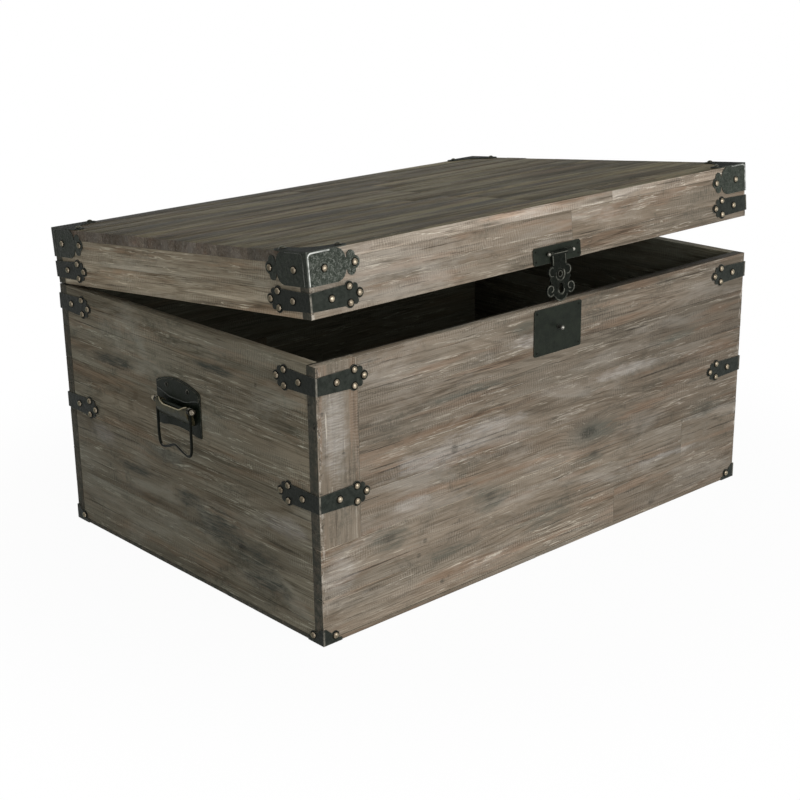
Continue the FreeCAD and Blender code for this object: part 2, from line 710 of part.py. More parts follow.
def make_foot_cap():
    """Foot cap: a lobed leaf on both upright faces and a sole let into the bottom board."""
    shell = box_corner("foot_cap_corner", S.foot_length)
    end, edge, top = S.foot_length, S.foot_edge - S.gauge, S.foot_height - S.gauge
    disc = (S.foot_nail_along, S.foot_nail_up - S.gauge, S.foot_lobe)
    leaf = flange("foot_cap_leaf", shell, UPRIGHT, [disc], (-S.gauge, -S.gauge), (end, -S.gauge), (end, edge),
                  (S.foot_waist, S.foot_waist, S.foot_edge, top), (-S.gauge, top))
    sole = flange("foot_cap_sole", shell, 180, [], (-S.gauge, S.gauge), (end, S.gauge), (end, -S.foot_edge),
                  (S.foot_edge, -end), (-S.gauge, -end))
    return join_cap("foot_cap", [leaf, twin(leaf), sole])


def make_caps():
    """Caps on the lid's top corners and on the base's feet. Gives the spots of their nails."""
    lid_cap, foot_cap = make_lid_cap(), make_foot_cap()
    upside_down = "placement(vector(0; 0; 0); rotation(vector(1; 1; 0); 180))"
    base_spots, lid_spots = [], []
    for corner in CORNERS:
        where = f"{corner_spot(corner, LID_TOP)} * {upside_down}"
        copy_of(lid_cap, f"cap_lid_{corner}", where, on_lid=True)
        lid_spots.extend(f"{where} * {spot}" for spot in lid_cap_nails(S.gauge))
        where = corner_spot(corner, S.gauge)
        copy_of(foot_cap, f"cap_base_{corner}", where)
        base_spots.extend(f"{where} * {spot}" for spot in foot_cap_nails(S.gauge))
    return base_spots, lid_spots


def make_corner_iron(nail):
    """Straps and caps, and the nails that hold them."""
    strap_base, strap_lid = make_straps()
    cap_base, cap_lid = make_caps()
    group_of("base_nails", nail, strap_base + cap_base)
    group_of("lid_nails", nail, strap_lid + cap_lid, on_lid=True)


# ---------------------------------------------------------------- lock plate and stud

def plate_tacks(width, low, high):
    """Spots of the four tacks near the corners of a plate."""
    across, heights = width / 2 - S.tack_inset, (low + S.tack_inset, high - S.tack_inset)
    return [(side, height) for side in (-across, across) for height in heights]


def make_lock(tack):
    """Lock plate on the base's front, with its tacks."""
    body = new_body("lock_plate")
    top = S.base_height - S.lock_below_rim
    low = top - S.lock_tall
    half, gauge = S.lock_width / 2, S.lock_gauge
    pad(body, rectangle(sketch_on(body, "lock_face"), -half, half, low, top), gauge)
    dress_edges(body, "Fillet", S.lock_corner, lambda point: near(point.z, gauge / 2))
    hole = circle(sketch_on(body, "lock_hole"), 0, STUD_Z, S.stud_neck + S.stud_play)
    pocket(body, hole, gauge, reverse=True)
    spots = plate_tacks(S.lock_width, low, top)
    node(place(body, IN_FRONT), "lock_plate")
    group_of("lock_tacks", tack, [f"{IN_FRONT} * {at(x, y, gauge)}" for x, y in spots])


def make_stud():
    """The turned stud that the hasp drops over, with its tail in the wood."""
    body = new_body("lock_stud")
    profile = sketch_on(body, "stud_profile", "XZ_Plane")
    ball, neck, middle = S.stud_ball, S.stud_neck, S.lock_gauge + S.stud_reach
    facet = ball * math.tan(math.radians(EIGHTH))
    outline(profile, (0, -S.stud_tail), (neck, -S.stud_tail), (neck, middle - ball + neck - facet),
            (ball, middle - facet), (ball, middle + facet), (facet, middle + ball), (0, middle + ball))
    turned = body.newObject("PartDesign::Revolution", "stud_turned")
    turned.Profile = profile
    turned.ReferenceAxis = (profile, ["V_Axis"])
    body.Tip = turned
    node(place(body, f"{IN_FRONT} * {at(0, STUD_Z)}"), "lock_stud")


# ---------------------------------------------------------------- hasp

def make_pin(label, where, left, right, radius, ball, on_lid=False):
    """A pin along x with a ball end peened on at both sides."""
    body = new_body(label)
    primitive(body, "AdditiveCylinder", label + "_rod", along_x(left), Radius=radius, Height=right - left)
    for side, start in (("left", left - ball * 2), ("right", right)):
        end = primitive(body, "AdditivePrism", f"{label}_{side}", along_x(start),
                        Circumradius=ball, Height=ball * 2)
        end.Polygon = TURNED_SIDES
    rod = (radius.number + ball.number) / 2
    for faces, size in (((left - ball * 2, right + ball * 2), ball / 2),
                        ((left, right), (ball - radius) / 2)):
        dress_edges(body, "Chamfer", size, lambda point: any(near(point.x, face) for face in faces)
                    and math.hypot(point.y, point.z) > rod)
    return node(place(body, where, on_lid), label)


def make_hasp_plate(tack):
    """Plate on the lid's front with a raised border and the two outer knuckles of the hasp's hinge."""
    body = new_body("hasp_plate")
    half, border, tall = S.hasp_plate_width / 2, S.hasp_border, S.hasp_plate_tall
    pad(body, rectangle(sketch_on(body, "hasp_plate_face"), -half, half, 0, tall), S.hasp_plate_gauge)
    dress_edges(body, "Chamfer", S.hasp_plate_clip, lambda point: near(point.z, S.hasp_plate_gauge / 2))
    neck = S.hasp_neck / 2 + S.knuckle_gap
    panels = sketch_on(body, "hasp_plate_panels", lift=S.hasp_plate_gauge)
    rectangle(panels, -half + border, -neck - S.near_knuckle - border, border, tall - border)
    rectangle(panels, neck + S.far_knuckle + border, half - border, border, tall - border)
    pocket(body, panels, S.hasp_panel)
    up, radius = S.hasp_pin_up, S.hasp_knuckle
    for name, left, width in (("near", -neck - S.near_knuckle, S.near_knuckle), ("far", neck, S.far_knuckle)):
        primitive(body, "AdditiveBox", f"hasp_plate_{name}_web", at(left, up - radius),
                  Length=width, Width=radius * 2, Height=HASP_PIN_OUT)
        primitive(body, "AdditiveCylinder", f"hasp_plate_{name}_knuckle", along_x(left, up, HASP_PIN_OUT),
                  Radius=radius, Height=width)
    primitive(body, "SubtractiveCylinder", "hasp_plate_bore", along_x(-half, up, HASP_PIN_OUT),
              Radius=S.hasp_pin + S.pin_play, Height=half * 2)
    spots = plate_tacks(S.hasp_plate_width, as_size(0), tall)
    where = at(0, FRONT, JOINT, tilt=UPRIGHT)
    node(place(body, where, on_lid=True), "hasp_plate")
    seat = S.hasp_plate_gauge - S.hasp_panel
    group_of("hasp_tacks", tack, [f"{where} * {at(x, y, seat)}" for x, y in spots], on_lid=True)
    ends = S.knuckle_gap / 2
    make_pin("hasp_pin", f"{where} * {at(0, up, HASP_PIN_OUT)}", -neck - S.near_knuckle - ends,
             neck + S.far_knuckle + ends, S.hasp_pin, S.hasp_pin_ball, on_lid=True)


def make_hasp():
    """The hasp: knuckle and neck, ears, a waist and a scrolled foot with the eye for the stud.

    Its own origin lies on the pin, with z out of the wood.
    """
    body = new_body("hasp")
    half, gauge = S.hasp_neck / 2, S.hasp_gauge
    back = S.hasp_back - HASP_PIN_OUT
    blade = sketch_on(body, "hasp_blade", lift=back)
    outline(blade, (-half, 0), (-half, -S.ear_down), (-S.waist, -S.waist_down), (-S.bowl, -S.bowl_down),
            (S.bowl, -S.bowl_down), (S.waist, -S.waist_down), (half, -S.ear_down), (half, 0))
    pad(body, blade, gauge)
    lobes = [(0, S.bowl_down, S.bowl)]
    for off, down, radius in ((S.ear_off, S.ear_down, S.ear), (S.scroll_off, S.scroll_down, S.scroll)):
        lobes += [(-off, down, radius), (off, down, radius)]
    for count, (off, down, radius) in enumerate(lobes):
        lobe = primitive(body, "AdditivePrism", f"hasp_lobe{count}", at(off, -down, back),
                         Circumradius=radius, Height=gauge)
        lobe.Polygon = SCROLL_SIDES
    primitive(body, "AdditiveCylinder", "hasp_knuckle", along_x(-half),
              Radius=S.hasp_knuckle, Height=half * 2)
    primitive(body, "SubtractiveCylinder", "hasp_bore", along_x(-half),
              Radius=S.hasp_pin + S.pin_play, Height=half * 2)
    eye, eye_down = S.stud_ball + S.eye_play, S.hasp_pin_up + S.stud_below_rim + S.eye_travel
    rim = sketch_on(body, "hasp_eye_rim", lift=back + gauge)
    slot(rim, -eye_down, eye + S.eye_rim, S.eye_travel)
    pad(body, rim, S.relief)
    roundel = sketch_on(body, "hasp_roundel", lift=back + gauge)
    pocket(body, circle(roundel, 0, -S.roundel_down, S.roundel), S.relief)
    pierced = sketch_on(body, "hasp_roundel_hole", lift=back + gauge)
    pocket(body, circle(pierced, 0, -S.roundel_down, S.roundel_hole), gauge)
    hole = sketch_on(body, "hasp_eye", lift=back + gauge + S.relief)
    pocket(body, slot(hole, -eye_down, eye, S.eye_travel), gauge + S.relief)
    where = at(0, FRONT, JOINT, tilt=UPRIGHT)
    node(place(body, f"{where} * {at(0, S.hasp_pin_up, HASP_PIN_OUT)}", on_lid=True), "hasp")


def slot(sketch, middle, radius, travel):
    """An upright slot with round ends."""
    return outline(sketch, (-radius, middle - travel), (0, middle - travel - radius, radius, middle - travel),
                   (radius, middle + travel), (0, middle + travel + radius, -radius, middle + travel))


# ---------------------------------------------------------------- butt hinges

def make_leaf(label, where, up, knuckles, on_lid):
    """A hinge leaf with its own origin on the pin. up is 1 for the lid's leaf and -1 for the base's."""
    body = new_body(label)
    half, far, close = S.leaf_width / 2, S.leaf_tall * up, (S.barrel + S.leaf_clear) * up
    face = sketch_on(body, label + "_face", lift=-HINGE_OUT)
    pad(body, rectangle(face, -half, half, far, close), S.leaf_gauge)
    for count, (left, right) in enumerate(knuckles):
        web = sketch_on(body, f"{label}_web{count}", lift=-HINGE_OUT)
        pad(body, rectangle(web, left, right, close, 0), S.leaf_gauge)
        primitive(body, "AdditiveCylinder", f"{label}_knuckle{count}", along_x(left),
                  Radius=S.barrel, Height=right - left)
    primitive(body, "SubtractiveCylinder", label + "_bore", along_x(-half),
              Radius=S.hinge_pin + S.pin_play, Height=half * 2)
    node(place(body, where, on_lid), label)


def make_hinges(nail):
    """Two butt hinges on the back. The base's leaf has the two end knuckles and the lid's the middle one."""
    half, middle, gap = S.leaf_width / 2, S.middle_knuckle / 2, S.knuckle_gap
    base_spots, lid_spots = [], []
    for side, x in (("left", LEFT + S.hinge_inset), ("right", RIGHT - S.hinge_inset)):
        where = at(x, HINGE_Y, HINGE_Z, 180, UPRIGHT)
        ends = [(-half, -middle - gap), (middle + gap, half)]
        make_leaf(f"hinge_{side}_base_leaf", where, -1, ends, on_lid=False)
        make_leaf(f"hinge_{side}_lid_leaf", where, 1, [(-middle, middle)], on_lid=True)
        rod = new_body(f"hinge_{side}_pin")
        reach = half + S.hinge_pin_end
        primitive(rod, "AdditiveCylinder", rod.Name + "_rod", along_x(-reach),
                  Radius=S.hinge_pin, Height=reach * 2)
        node(place(rod, where), rod.Name)
        for off in (-S.leaf_nail_off, S.leaf_nail_off):
            base_spots.append(f"{where} * {at(off, -S.leaf_nail_rise, S.leaf_gauge - HINGE_OUT)}")
            lid_spots.append(f"{where} * {at(off, S.leaf_nail_rise, S.leaf_gauge - HINGE_OUT)}")
    group_of("hinge_base_nails", nail, base_spots)
    group_of("hinge_lid_nails", nail, lid_spots, on_lid=True)


# ---------------------------------------------------------------- side handles

def make_grip_plate():
    """Handle plate: an arched plate with a raised panel and a cradle rolled round the bail's pin."""
    body = new_body("grip_plate")
    half, leg, floor = S.grip_width / 2, S.grip_width / 2 - S.grip_leg, S.grip_floor
    plate = sketch_on(body, "grip_face")
    outline(plate, (-half, floor), (-leg, floor), (0, floor + S.grip_arch, leg, floor), (half, floor),
            (half, S.grip_shoulder), (0, S.grip_crown, -half, S.grip_shoulder))
    pad(body, plate, S.grip_gauge)
    inset, margin = half - S.grip_margin, S.grip_margin
    panel = sketch_on(body, "grip_panel", lift=S.grip_gauge)
    high, shoulder = S.lip_high, S.grip_shoulder - margin
    outline(panel, (-inset, high), (-S.lip_shoulder, high), (0, S.lip_low, S.lip_shoulder, high),
            (inset, high), (inset, shoulder), (0, S.grip_crown - margin, -inset, shoulder))
    pad(body, panel, S.grip_relief)
    add_cradle(body)
    for side in (-S.grip_screw_off, S.grip_screw_off):
        hole = primitive(body, "SubtractivePrism", "grip_hole", at(side, S.grip_screw_up),
                         Circumradius=S.screw_shank + S.screw_play, Height=S.grip_gauge + S.grip_relief)
        hole.Polygon = HEAD_SIDES
    return body


def add_cradle(body):
    """The scoop that swells out of the plate and rolls over the pin, open in the middle."""
    radius = S.grip_pin + S.pin_play + S.cradle_wall
    up, out, foot, gauge = S.grip_axis_up, S.grip_axis_out, S.cradle_foot, S.grip_gauge
    profile = sketch_on(body, "cradle_profile", "YZ_Plane", lift=-S.cradle_half)
    outline(profile, (foot, gauge), (S.cradle_belly, out, up, out + radius),
            (up + radius, out, up, out - radius), (foot + S.cradle_root, gauge))
    pad(body, profile, S.cradle_half * 2)
    primitive(body, "SubtractiveCylinder", "cradle_bore", along_x(-S.cradle_half, up, out),
              Radius=S.grip_pin + S.pin_play, Height=S.cradle_half * 2)
    open_half, top = S.cradle_half - S.cradle_knuckle, up + radius
    wave = sketch_on(body, "cradle_wave", lift=gauge + S.grip_relief)
    outline(wave, (-open_half, top), (0, top - S.cradle_dip, open_half, top), (open_half, top + radius),
            (-open_half, top + radius))
    pocket(body, wave, out * 2, reverse=True)


def make_bail():
    """The bail: two eyes on the pin, straight arms, and a grip that dips to two toes round a cusp."""
    body = new_body("bail")
    side = S.cradle_half + S.knuckle_gap + S.bail_wire
    up, arm, toe, cusp = S.grip_axis_up, S.bail_arm_up, S.bail_toe_up, S.bail_cusp_up
    path = sketch_on(body, "bail_path", lift=S.grip_axis_out)
    end, off = up - S.bail_eye / 2, S.bail_toe_off
    points = [(-side, end), (-side, arm), (-off, toe), (0, cusp), (off, toe), (side, arm), (side, end)]
    for count, (here, there) in enumerate(zip(points, points[1:])):
        ends = [Vector(as_size(x).number, as_size(y).number) for x, y in (here, there)]
        path.addGeometry(Part.LineSegment(*ends))
        fix_point(path, count, 1, *here)
        fix_point(path, count, 2, *there)
    section = body.newObject("Sketcher::SketchObject", "bail_section")
    section.AttachmentSupport = [(plane_of(body, "XZ_Plane"), "")]
    section.MapMode = "FlatFace"
    section.setExpression("AttachmentOffset.Base.z", (-end).formula)
    wire = S.bail_wire
    turns = [2 * math.pi * step / HEAD_SIDES for step in range(HEAD_SIDES)]
    ring = [(-side + wire * math.cos(turn), S.grip_axis_out + wire * math.sin(turn)) for turn in turns]
    outline(section, ring[0], *ring[1:])
    pipe = body.newObject("PartDesign::AdditivePipe", "bail_wire")
    pipe.Profile = section
    pipe.Spine = (path, [f"Edge{number}" for number in range(1, len(points))])
    pipe.Transition = "Right corner"
    body.Tip = pipe
    for name, left in (("left", -side - wire), ("right", side - wire)):
        eye = primitive(body, "AdditivePrism", f"bail_{name}_eye", along_x(left, up, S.grip_axis_out),
                        Circumradius=S.bail_eye, Height=wire * 2)
        eye.Polygon = TURNED_SIDES
    primitive(body, "SubtractiveCylinder", "bail_bore", along_x(-side - wire, up, S.grip_axis_out),
              Radius=S.grip_pin + S.pin_play, Height=(side + wire) * 2)
    return body


def make_handles():
    """A handle on either side: plate, pin, bail and screws."""
    plate, bail = make_grip_plate(), make_bail()
    screw = make_screw("grip_screw", S.grip_gauge + S.grip_relief)
    end = S.cradle_half + S.bail_wire * 2 + S.knuckle_gap * 2
    for side, where in HANDED.items():
        copy_of(plate, f"handle_{side}_plate", where)
        copy_of(bail, f"handle_{side}_bail", where)
        axis = at(0, S.grip_axis_up, S.grip_axis_out)
        make_pin(f"handle_{side}_pin", f"{where} * {axis}", -end, end, S.grip_pin, S.grip_ball)
    seat = S.grip_gauge + S.grip_relief
    spots = [f"{where} * {at(off, S.grip_screw_up, seat)}" for where in HANDED.values()
             for off in (-S.grip_screw_off, S.grip_screw_off)]
    group_of("handle_screws", screw, spots)


# ---------------------------------------------------------------- the whole trunk

def write_parts():
    """Checks every object and writes each node to its file."""
    doc.recompute()
    for thing in doc.Objects:
        if "Invalid" in thing.State or "Error" in thing.State:
            raise RuntimeError(f"{thing.Label} is {thing.State}")
    os.makedirs("parts", exist_ok=True)
    for thing in nodes:
        if not thing.Shape.isValid() or not thing.Shape.Solids:
            raise RuntimeError(f"{thing.Label} is no valid solid")
        thing.Shape.exportStep(f"parts/{thing.Label}.step")


nail_reach, tack_reach = S.nail_length + S.gauge, S.tack_length + S.lock_gauge
nail_master = make_nail("nail", S.nail_radius, S.nail_crown, S.nail_head, S.nail_shank, nail_reach)
tack_master = make_nail("tack", S.tack_radius, S.tack_crown, S.tack_head, S.tack_shank, tack_reach)
make_boards()
make_corner_iron(nail_master)
make_lock(tack_master)
make_stud()
make_hasp_plate(tack_master)
make_hasp()
make_hinges(nail_master)
make_handles()
write_parts()
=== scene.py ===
"""Dress of a storage trunk: glued-up old boards, black iron, a hasp and two bail handles.

Metres, +Z up, front towards -Y. The lid stands a little open, and its pieces are built there.
"""
import logging
import math
import random
from dataclasses import dataclass, field
from enum import Enum
from typing import Callable, Iterable, Sequence

import bpy
from mathutils import Matrix, Vector


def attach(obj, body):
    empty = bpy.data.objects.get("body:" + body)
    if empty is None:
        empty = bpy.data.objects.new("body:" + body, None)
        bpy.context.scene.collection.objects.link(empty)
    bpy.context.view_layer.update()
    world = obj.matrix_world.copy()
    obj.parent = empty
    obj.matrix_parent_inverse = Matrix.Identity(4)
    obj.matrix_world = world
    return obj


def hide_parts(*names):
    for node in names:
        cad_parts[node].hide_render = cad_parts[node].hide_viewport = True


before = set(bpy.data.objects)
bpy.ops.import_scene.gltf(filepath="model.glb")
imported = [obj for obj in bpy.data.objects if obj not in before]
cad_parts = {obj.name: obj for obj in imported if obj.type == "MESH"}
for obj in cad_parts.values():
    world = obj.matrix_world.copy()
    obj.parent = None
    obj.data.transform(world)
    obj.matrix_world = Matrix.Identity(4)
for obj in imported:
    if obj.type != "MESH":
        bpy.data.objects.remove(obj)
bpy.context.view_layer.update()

LOG = logging.getLogger("trunk")
MM = 0.001
MERGE = 0.00001  # vertices closer than this, in metres, are one
Point = tuple[float, float]
Colour = tuple[float, float, float]
Mark = tuple[float, float, float, float, float, float]  # a middle and its reach each way, in millimetres
Piece = bpy.types.Object


def turn(axis: str, degrees: float) -> Matrix:
    """A rotation about one axis, in degrees."""
    return Matrix.Rotation(math.radians(degrees), 4, axis)


def move(x: float = 0.0, y: float = 0.0, z: float = 0.0) -> Matrix:
    """A shift, in millimetres."""
    return Matrix.Translation(Vector((x, y, z)) * MM)


@dataclass(frozen=True)
class Trunk:
    """The sizes that every sub-assembly shares, in millimetres."""

    length: float = 800.0
    depth: float = 550.0
    rim: float = 345.0
    joint: float = 345.5
    lid_height: float = 75.0
    lid_board: float = 14.0
    wall: float = 16.0
    bottom: float = 6.0
    gauge: float = 1.2
    hinge_y: float = 279.1
    hinge_z: float = 345.25
    lid_open: float = 5.5

    @property
    def lid_swing(self) -> Matrix:
        """How the lid's pieces are swung open from their shut place."""
        return move(0, self.hinge_y, self.hinge_z) @ turn("X", -self.lid_open) @ move(0, -self.hinge_y, -self.hinge_z)

    @property
    def lid_top(self) -> float:
        """Height of the shut lid's top."""
        return self.joint + self.lid_height

    def side(self, name: str) -> Matrix:
        """The frame of a side, named front, right, back or left: x along it, y up and z outwards, from the floor."""
        heading = {"front": 0, "right": 90, "back": 180, "left": -90}[name]
        out = self.depth if name in ("front", "back") else self.length
        return turn("Z", heading) @ move(0, -out / 2) @ turn("X", 90)

    def corners(self) -> Iterable[tuple[str, int, Matrix]]:
        """The name, heading and frame of each upright edge, with the wood at x and y above zero."""
        for name, side_x, side_y, heading in (("front_left", -1, -1, 0), ("front_right", 1, -1, 90),
                                              ("back_right", 1, 1, 180), ("back_left", -1, 1, 270)):
            yield name, heading, move(self.length / 2 * side_x, self.depth / 2 * side_y) @ turn("Z", heading)


TRUNK = Trunk()
FRONT_LEAF, SIDE_LEAF = turn("X", 90), turn("Z", -90) @ turn("X", 90)
CAP_FLIP = Matrix.Rotation(math.pi, 4, Vector((1, 1, 0)).normalized())
UPPER_STRAP, MID_STRAP, LID_STRAP = TRUNK.rim - 23.5, 179.5, TRUNK.joint + 19.5


def arc(x: float, y: float, radius: float, start: float, end: float, steps: int = 8) -> list[Point]:
    """Points along an arc, in millimetres and degrees."""
    turns = [math.radians(start + (end - start) * step / steps) for step in range(steps + 1)]
    return [(x + radius * math.cos(angle), y + radius * math.sin(angle)) for angle in turns]


def circle(x: float, y: float, radius: float) -> list[Point]:
    """Points round a circle, in millimetres."""
    return arc(x, y, radius, 0, 360, 60)[:-1]


def circles(*spots: tuple[float, float, float]) -> list[list[Point]]:
    """Circles, each from its x, its y and its radius."""
    return [circle(*spot) for spot in spots]


def covers(shape: Sequence[Point], x: float, y: float) -> bool:
    """Whether a point lies inside a shape."""
    inside = False
    for (x1, y1), (x2, y2) in zip(shape, [*shape[1:], shape[0]]):
        if (y1 > y) != (y2 > y) and x < x1 + (y - y1) / (y2 - y1) * (x2 - x1):
            inside = not inside
    return inside


def outer_line(shapes: Sequence[Sequence[Point]], step: float = 0.55) -> list[Point]:
    """The line round shapes that are laid over each other.

    Args:
        shapes: closed anticlockwise outlines, in millimetres.
        step: the greatest distance between two points of the line.

    Returns:
        The line's points, anticlockwise.
    """
    runs: list[list[Point]] = []
    for shape in shapes:
        others = [other for other in shapes if other is not shape]
        points = []
        for (x1, y1), (x2, y2) in zip(shape, [*shape[1:], shape[0]]):
            count = max(1, math.ceil(math.hypot(x2 - x1, y2 - y1) / step))
            points += [(x1 + (x2 - x1) * part / count, y1 + (y2 - y1) * part / count) for part in range(count)]
        hidden = [any(covers(other, *point) for other in others) for point in points]
        first = hidden.index(True) if True in hidden else 0
        run: list[Point] = []
        for index in range(first, first + len(points)):
            if not hidden[index % len(points)]:
                run.append(points[index % len(points)])
            elif run:
                runs.append(run)
                run = []
        if run:
            runs.append(run)
    line = min(runs, key=min)
    runs.remove(line)
    while runs:
        near = min(runs, key=lambda run: math.dist(run[0], line[-1]))
        if math.dist(line[0], line[-1]) < math.dist(near[0], line[-1]):
            break
        runs.remove(near)
        line = line + near
    return [point for index, point in enumerate(line) if math.dist(point, line[index - 1]) > 0.1]


# ---------------------------------------------------------------- bench


class Bench:
    """Modelling calls, each of which leaves object mode with only its own piece selected."""

    @staticmethod
    def clear() -> None:
        """Deselects everything."""
        if bpy.context.object and bpy.context.object.mode != "OBJECT":
            bpy.ops.object.mode_set(mode="OBJECT")
        bpy.ops.object.select_all(action="DESELECT")

    @staticmethod
    def pick(pieces: Sequence[Piece]) -> Piece:
        """Selects pieces and makes the first one active."""
        Bench.clear()
        for piece in pieces:
            piece.select_set(True)
        bpy.context.view_layer.objects.active = pieces[0]
        return pieces[0]

    @staticmethod
    def box(low: Sequence[float], high: Sequence[float]) -> Piece:
        """A box between two corners, in millimetres."""
        Bench.clear()
        low, high = Vector(low) * MM, Vector(high) * MM
        bpy.ops.mesh.primitive_cube_add(size=1, location=(low + high) / 2, scale=high - low)
        return bpy.context.object

    @staticmethod
    def disc(x: float, y: float, low: float, high: float, radius: float, sides: int = 32) -> Piece:
        """An upright disc, in millimetres."""
        Bench.clear()
        bpy.ops.mesh.primitive_cylinder_add(vertices=sides, radius=radius * MM, depth=(high - low) * MM,
                                            location=Vector((x, y, (low + high) / 2)) * MM)
        return bpy.context.object

    @staticmethod
    def plate(outline: Sequence[Point], low: float, high: float) -> Piece:
        """A flat plate under an outline, in millimetres."""
        Bench.clear()
        bpy.ops.mesh.primitive_circle_add(vertices=len(outline), radius=MM, fill_type="NGON")
        piece = bpy.context.object
        for vertex, (x, y) in zip(piece.data.vertices, outline):
            vertex.co = Vector((x, y, low)) * MM
        Bench.edit(piece, "FACE")
        bpy.ops.mesh.extrude_region_move(TRANSFORM_OT_translate={"value": (0, 0, (high - low) * MM)})
        bpy.ops.mesh.select_all(action="SELECT")
        bpy.ops.mesh.normals_make_consistent(inside=False)
        bpy.ops.object.mode_set(mode="OBJECT")
        return piece

    @staticmethod
    def bar(left: float, right: float, y: float, z: float, radius: float) -> Piece:
        """A round bar along x, in millimetres."""
        return Bench.carry(Bench.disc(0, 0, left, right, radius, 28), move(0, y, z) @ turn("Y", 90))

    @staticmethod
    def ball(middle: Sequence[float], radius: float) -> Piece:
        """A ball, in millimetres."""
        Bench.clear()
        bpy.ops.mesh.primitive_uv_sphere_add(segments=24, ring_count=14, radius=radius * MM,
                                             location=Vector(middle) * MM)
        return Bench.settle(bpy.context.object)

    @staticmethod
    def wire(path: Sequence[Sequence[float]], radius: float) -> Piece:
        """A smooth round wire drawn along points, in millimetres."""
        Bench.clear()
        bpy.ops.curve.primitive_nurbs_path_add()
        curve = bpy.context.object.data
        curve.splines.clear()
        spline = curve.splines.new("NURBS")
        spline.points.add(len(path) - 1)
        for point, place in zip(spline.points, path):
            point.co = (*(Vector(place) * MM), 1.0)
        spline.order_u, spline.use_endpoint_u = 3, True
        curve.bevel_depth, curve.bevel_resolution, curve.resolution_u, curve.use_fill_caps = radius * MM, 3, 6, True
        bpy.ops.object.convert(target="MESH")
        return Bench.tidy(bpy.context.object, 60)

    @staticmethod
    def soften(piece: Piece, size: float) -> Piece:
        """Rounds a piece's sharp edges over by a size in millimetres, and keeps its flats flat."""
        Bench.edit(piece, "EDGE", lambda edge: False)
        bpy.ops.mesh.select_all(action="SELECT")
        bpy.ops.mesh.remove_doubles(threshold=MERGE)
        bpy.ops.mesh.dissolve_limited(angle_limit=math.radians(0.8))
        bpy.ops.mesh.select_all(action="DESELECT")
        bpy.ops.mesh.edges_select_sharp(sharpness=math.radians(40))
        bpy.ops.mesh.bevel(offset=size * MM, segments=2, profile=0.5, affect="EDGES", clamp_overlap=True)
        bpy.ops.mesh.select_all(action="SELECT")
        bpy.ops.mesh.dissolve_degenerate(threshold=MERGE)
        bpy.ops.object.mode_set(mode="OBJECT")
        Bench.tidy(piece, 35)
        return Bench.modify(piece, "WEIGHTED_NORMAL", keep_sharp=True)

    @staticmethod
    def settle(piece: Piece) -> Piece:
        """Puts a piece's place and scale into its mesh."""
        Bench.pick([piece])
        bpy.ops.object.transform_apply(location=True, rotation=True, scale=True)
        return piece

    @staticmethod
    def join(pieces: Sequence[Piece], name: str) -> Piece:
        """Joins pieces into one object at the origin."""
        whole = Bench.pick(pieces)
        if len(pieces) > 1:
            bpy.ops.object.join()
        whole.name = whole.data.name = name
        return Bench.settle(whole)

    @staticmethod
    def carry(piece: Piece, place: Matrix, name: str = "") -> Piece:
        """Moves a piece's mesh, leaves its object at the origin and may name it."""
        Bench.settle(piece)
        piece.data.transform(place)
        piece.data.update()
        if name:
            piece.name = piece.data.name = name
        return piece

    @staticmethod
    def copy(master: Piece, name: str, place: Matrix) -> Piece:
        """A copy of a master with a mesh of its own."""
        Bench.pick([master])
        bpy.ops.object.duplicate()
        twin = bpy.context.object
        twin.name = twin.data.name = name
        return Bench.carry(twin, place)

    @staticmethod
    def scrap(piece: Piece) -> None:
        """Throws a master or a cutter away."""
        bpy.data.objects.remove(piece)

    @staticmethod
    def modify(piece: Piece, kind: str, **settings: object) -> Piece:
        """Adds a modifier and applies it."""
        Bench.pick([piece])
        modifier = piece.modifiers.new(kind.lower(), kind)
        for name, value in settings.items():
            setattr(modifier, name, value)
        bpy.ops.object.modifier_apply(modifier=modifier.name)
        return piece

    @staticmethod
    def cut(piece: Piece, *cutters: Piece) -> Piece:
        """Cuts others out of a piece and throws them away."""
        Bench.settle(piece)
        for cutter in cutters:
            Bench.settle(cutter)
            Bench.modify(piece, "BOOLEAN", operation="DIFFERENCE", object=cutter, solver="EXACT")
            Bench.scrap(cutter)
        return piece

    @staticmethod
    def edit(piece: Piece, parts: str, wanted: Callable[[object], bool] = lambda item: True) -> None:
        """Enters edit mode with the wanted vertices, edges or faces selected.

        Args:
            piece: the object to edit.
            parts: "VERT", "EDGE" or "FACE".
            wanted: a test that each vertex, edge or face is put to.
        """
        Bench.pick([piece])
        bpy.ops.object.mode_set(mode="EDIT")
        bpy.ops.mesh.select_mode(type=parts)
        bpy.ops.mesh.select_all(action="DESELECT")
        bpy.ops.object.mode_set(mode="OBJECT")
        mesh = piece.data
        for item in {"VERT": mesh.vertices, "EDGE": mesh.edges, "FACE": mesh.polygons}[parts]:
            item.select = bool(wanted(item))
        bpy.ops.object.mode_set(mode="EDIT")

    @staticmethod
    def border(plate: Piece, *steps: tuple[float, float]) -> Piece:
        """Works lines along the edge of a plate's face, each from its width and its rise in millimetres."""
        Bench.edit(plate, "FACE", lambda face: face.normal.z > 0.9)
        for width, rise in steps:
            bpy.ops.mesh.inset(thickness=width * MM, depth=rise * MM)
        bpy.ops.object.mode_set(mode="OBJECT")
        return plate

    @staticmethod
    def dome(ball: Piece, seat: float) -> Piece:
        """What is left of a ball above its seat, in millimetres."""
        Bench.edit(ball, "VERT")
        bpy.ops.mesh.bisect(plane_co=(0, 0, seat * MM), plane_no=(0, 0, 1), clear_inner=True, use_fill=True)
        bpy.ops.object.mode_set(mode="OBJECT")
        return ball

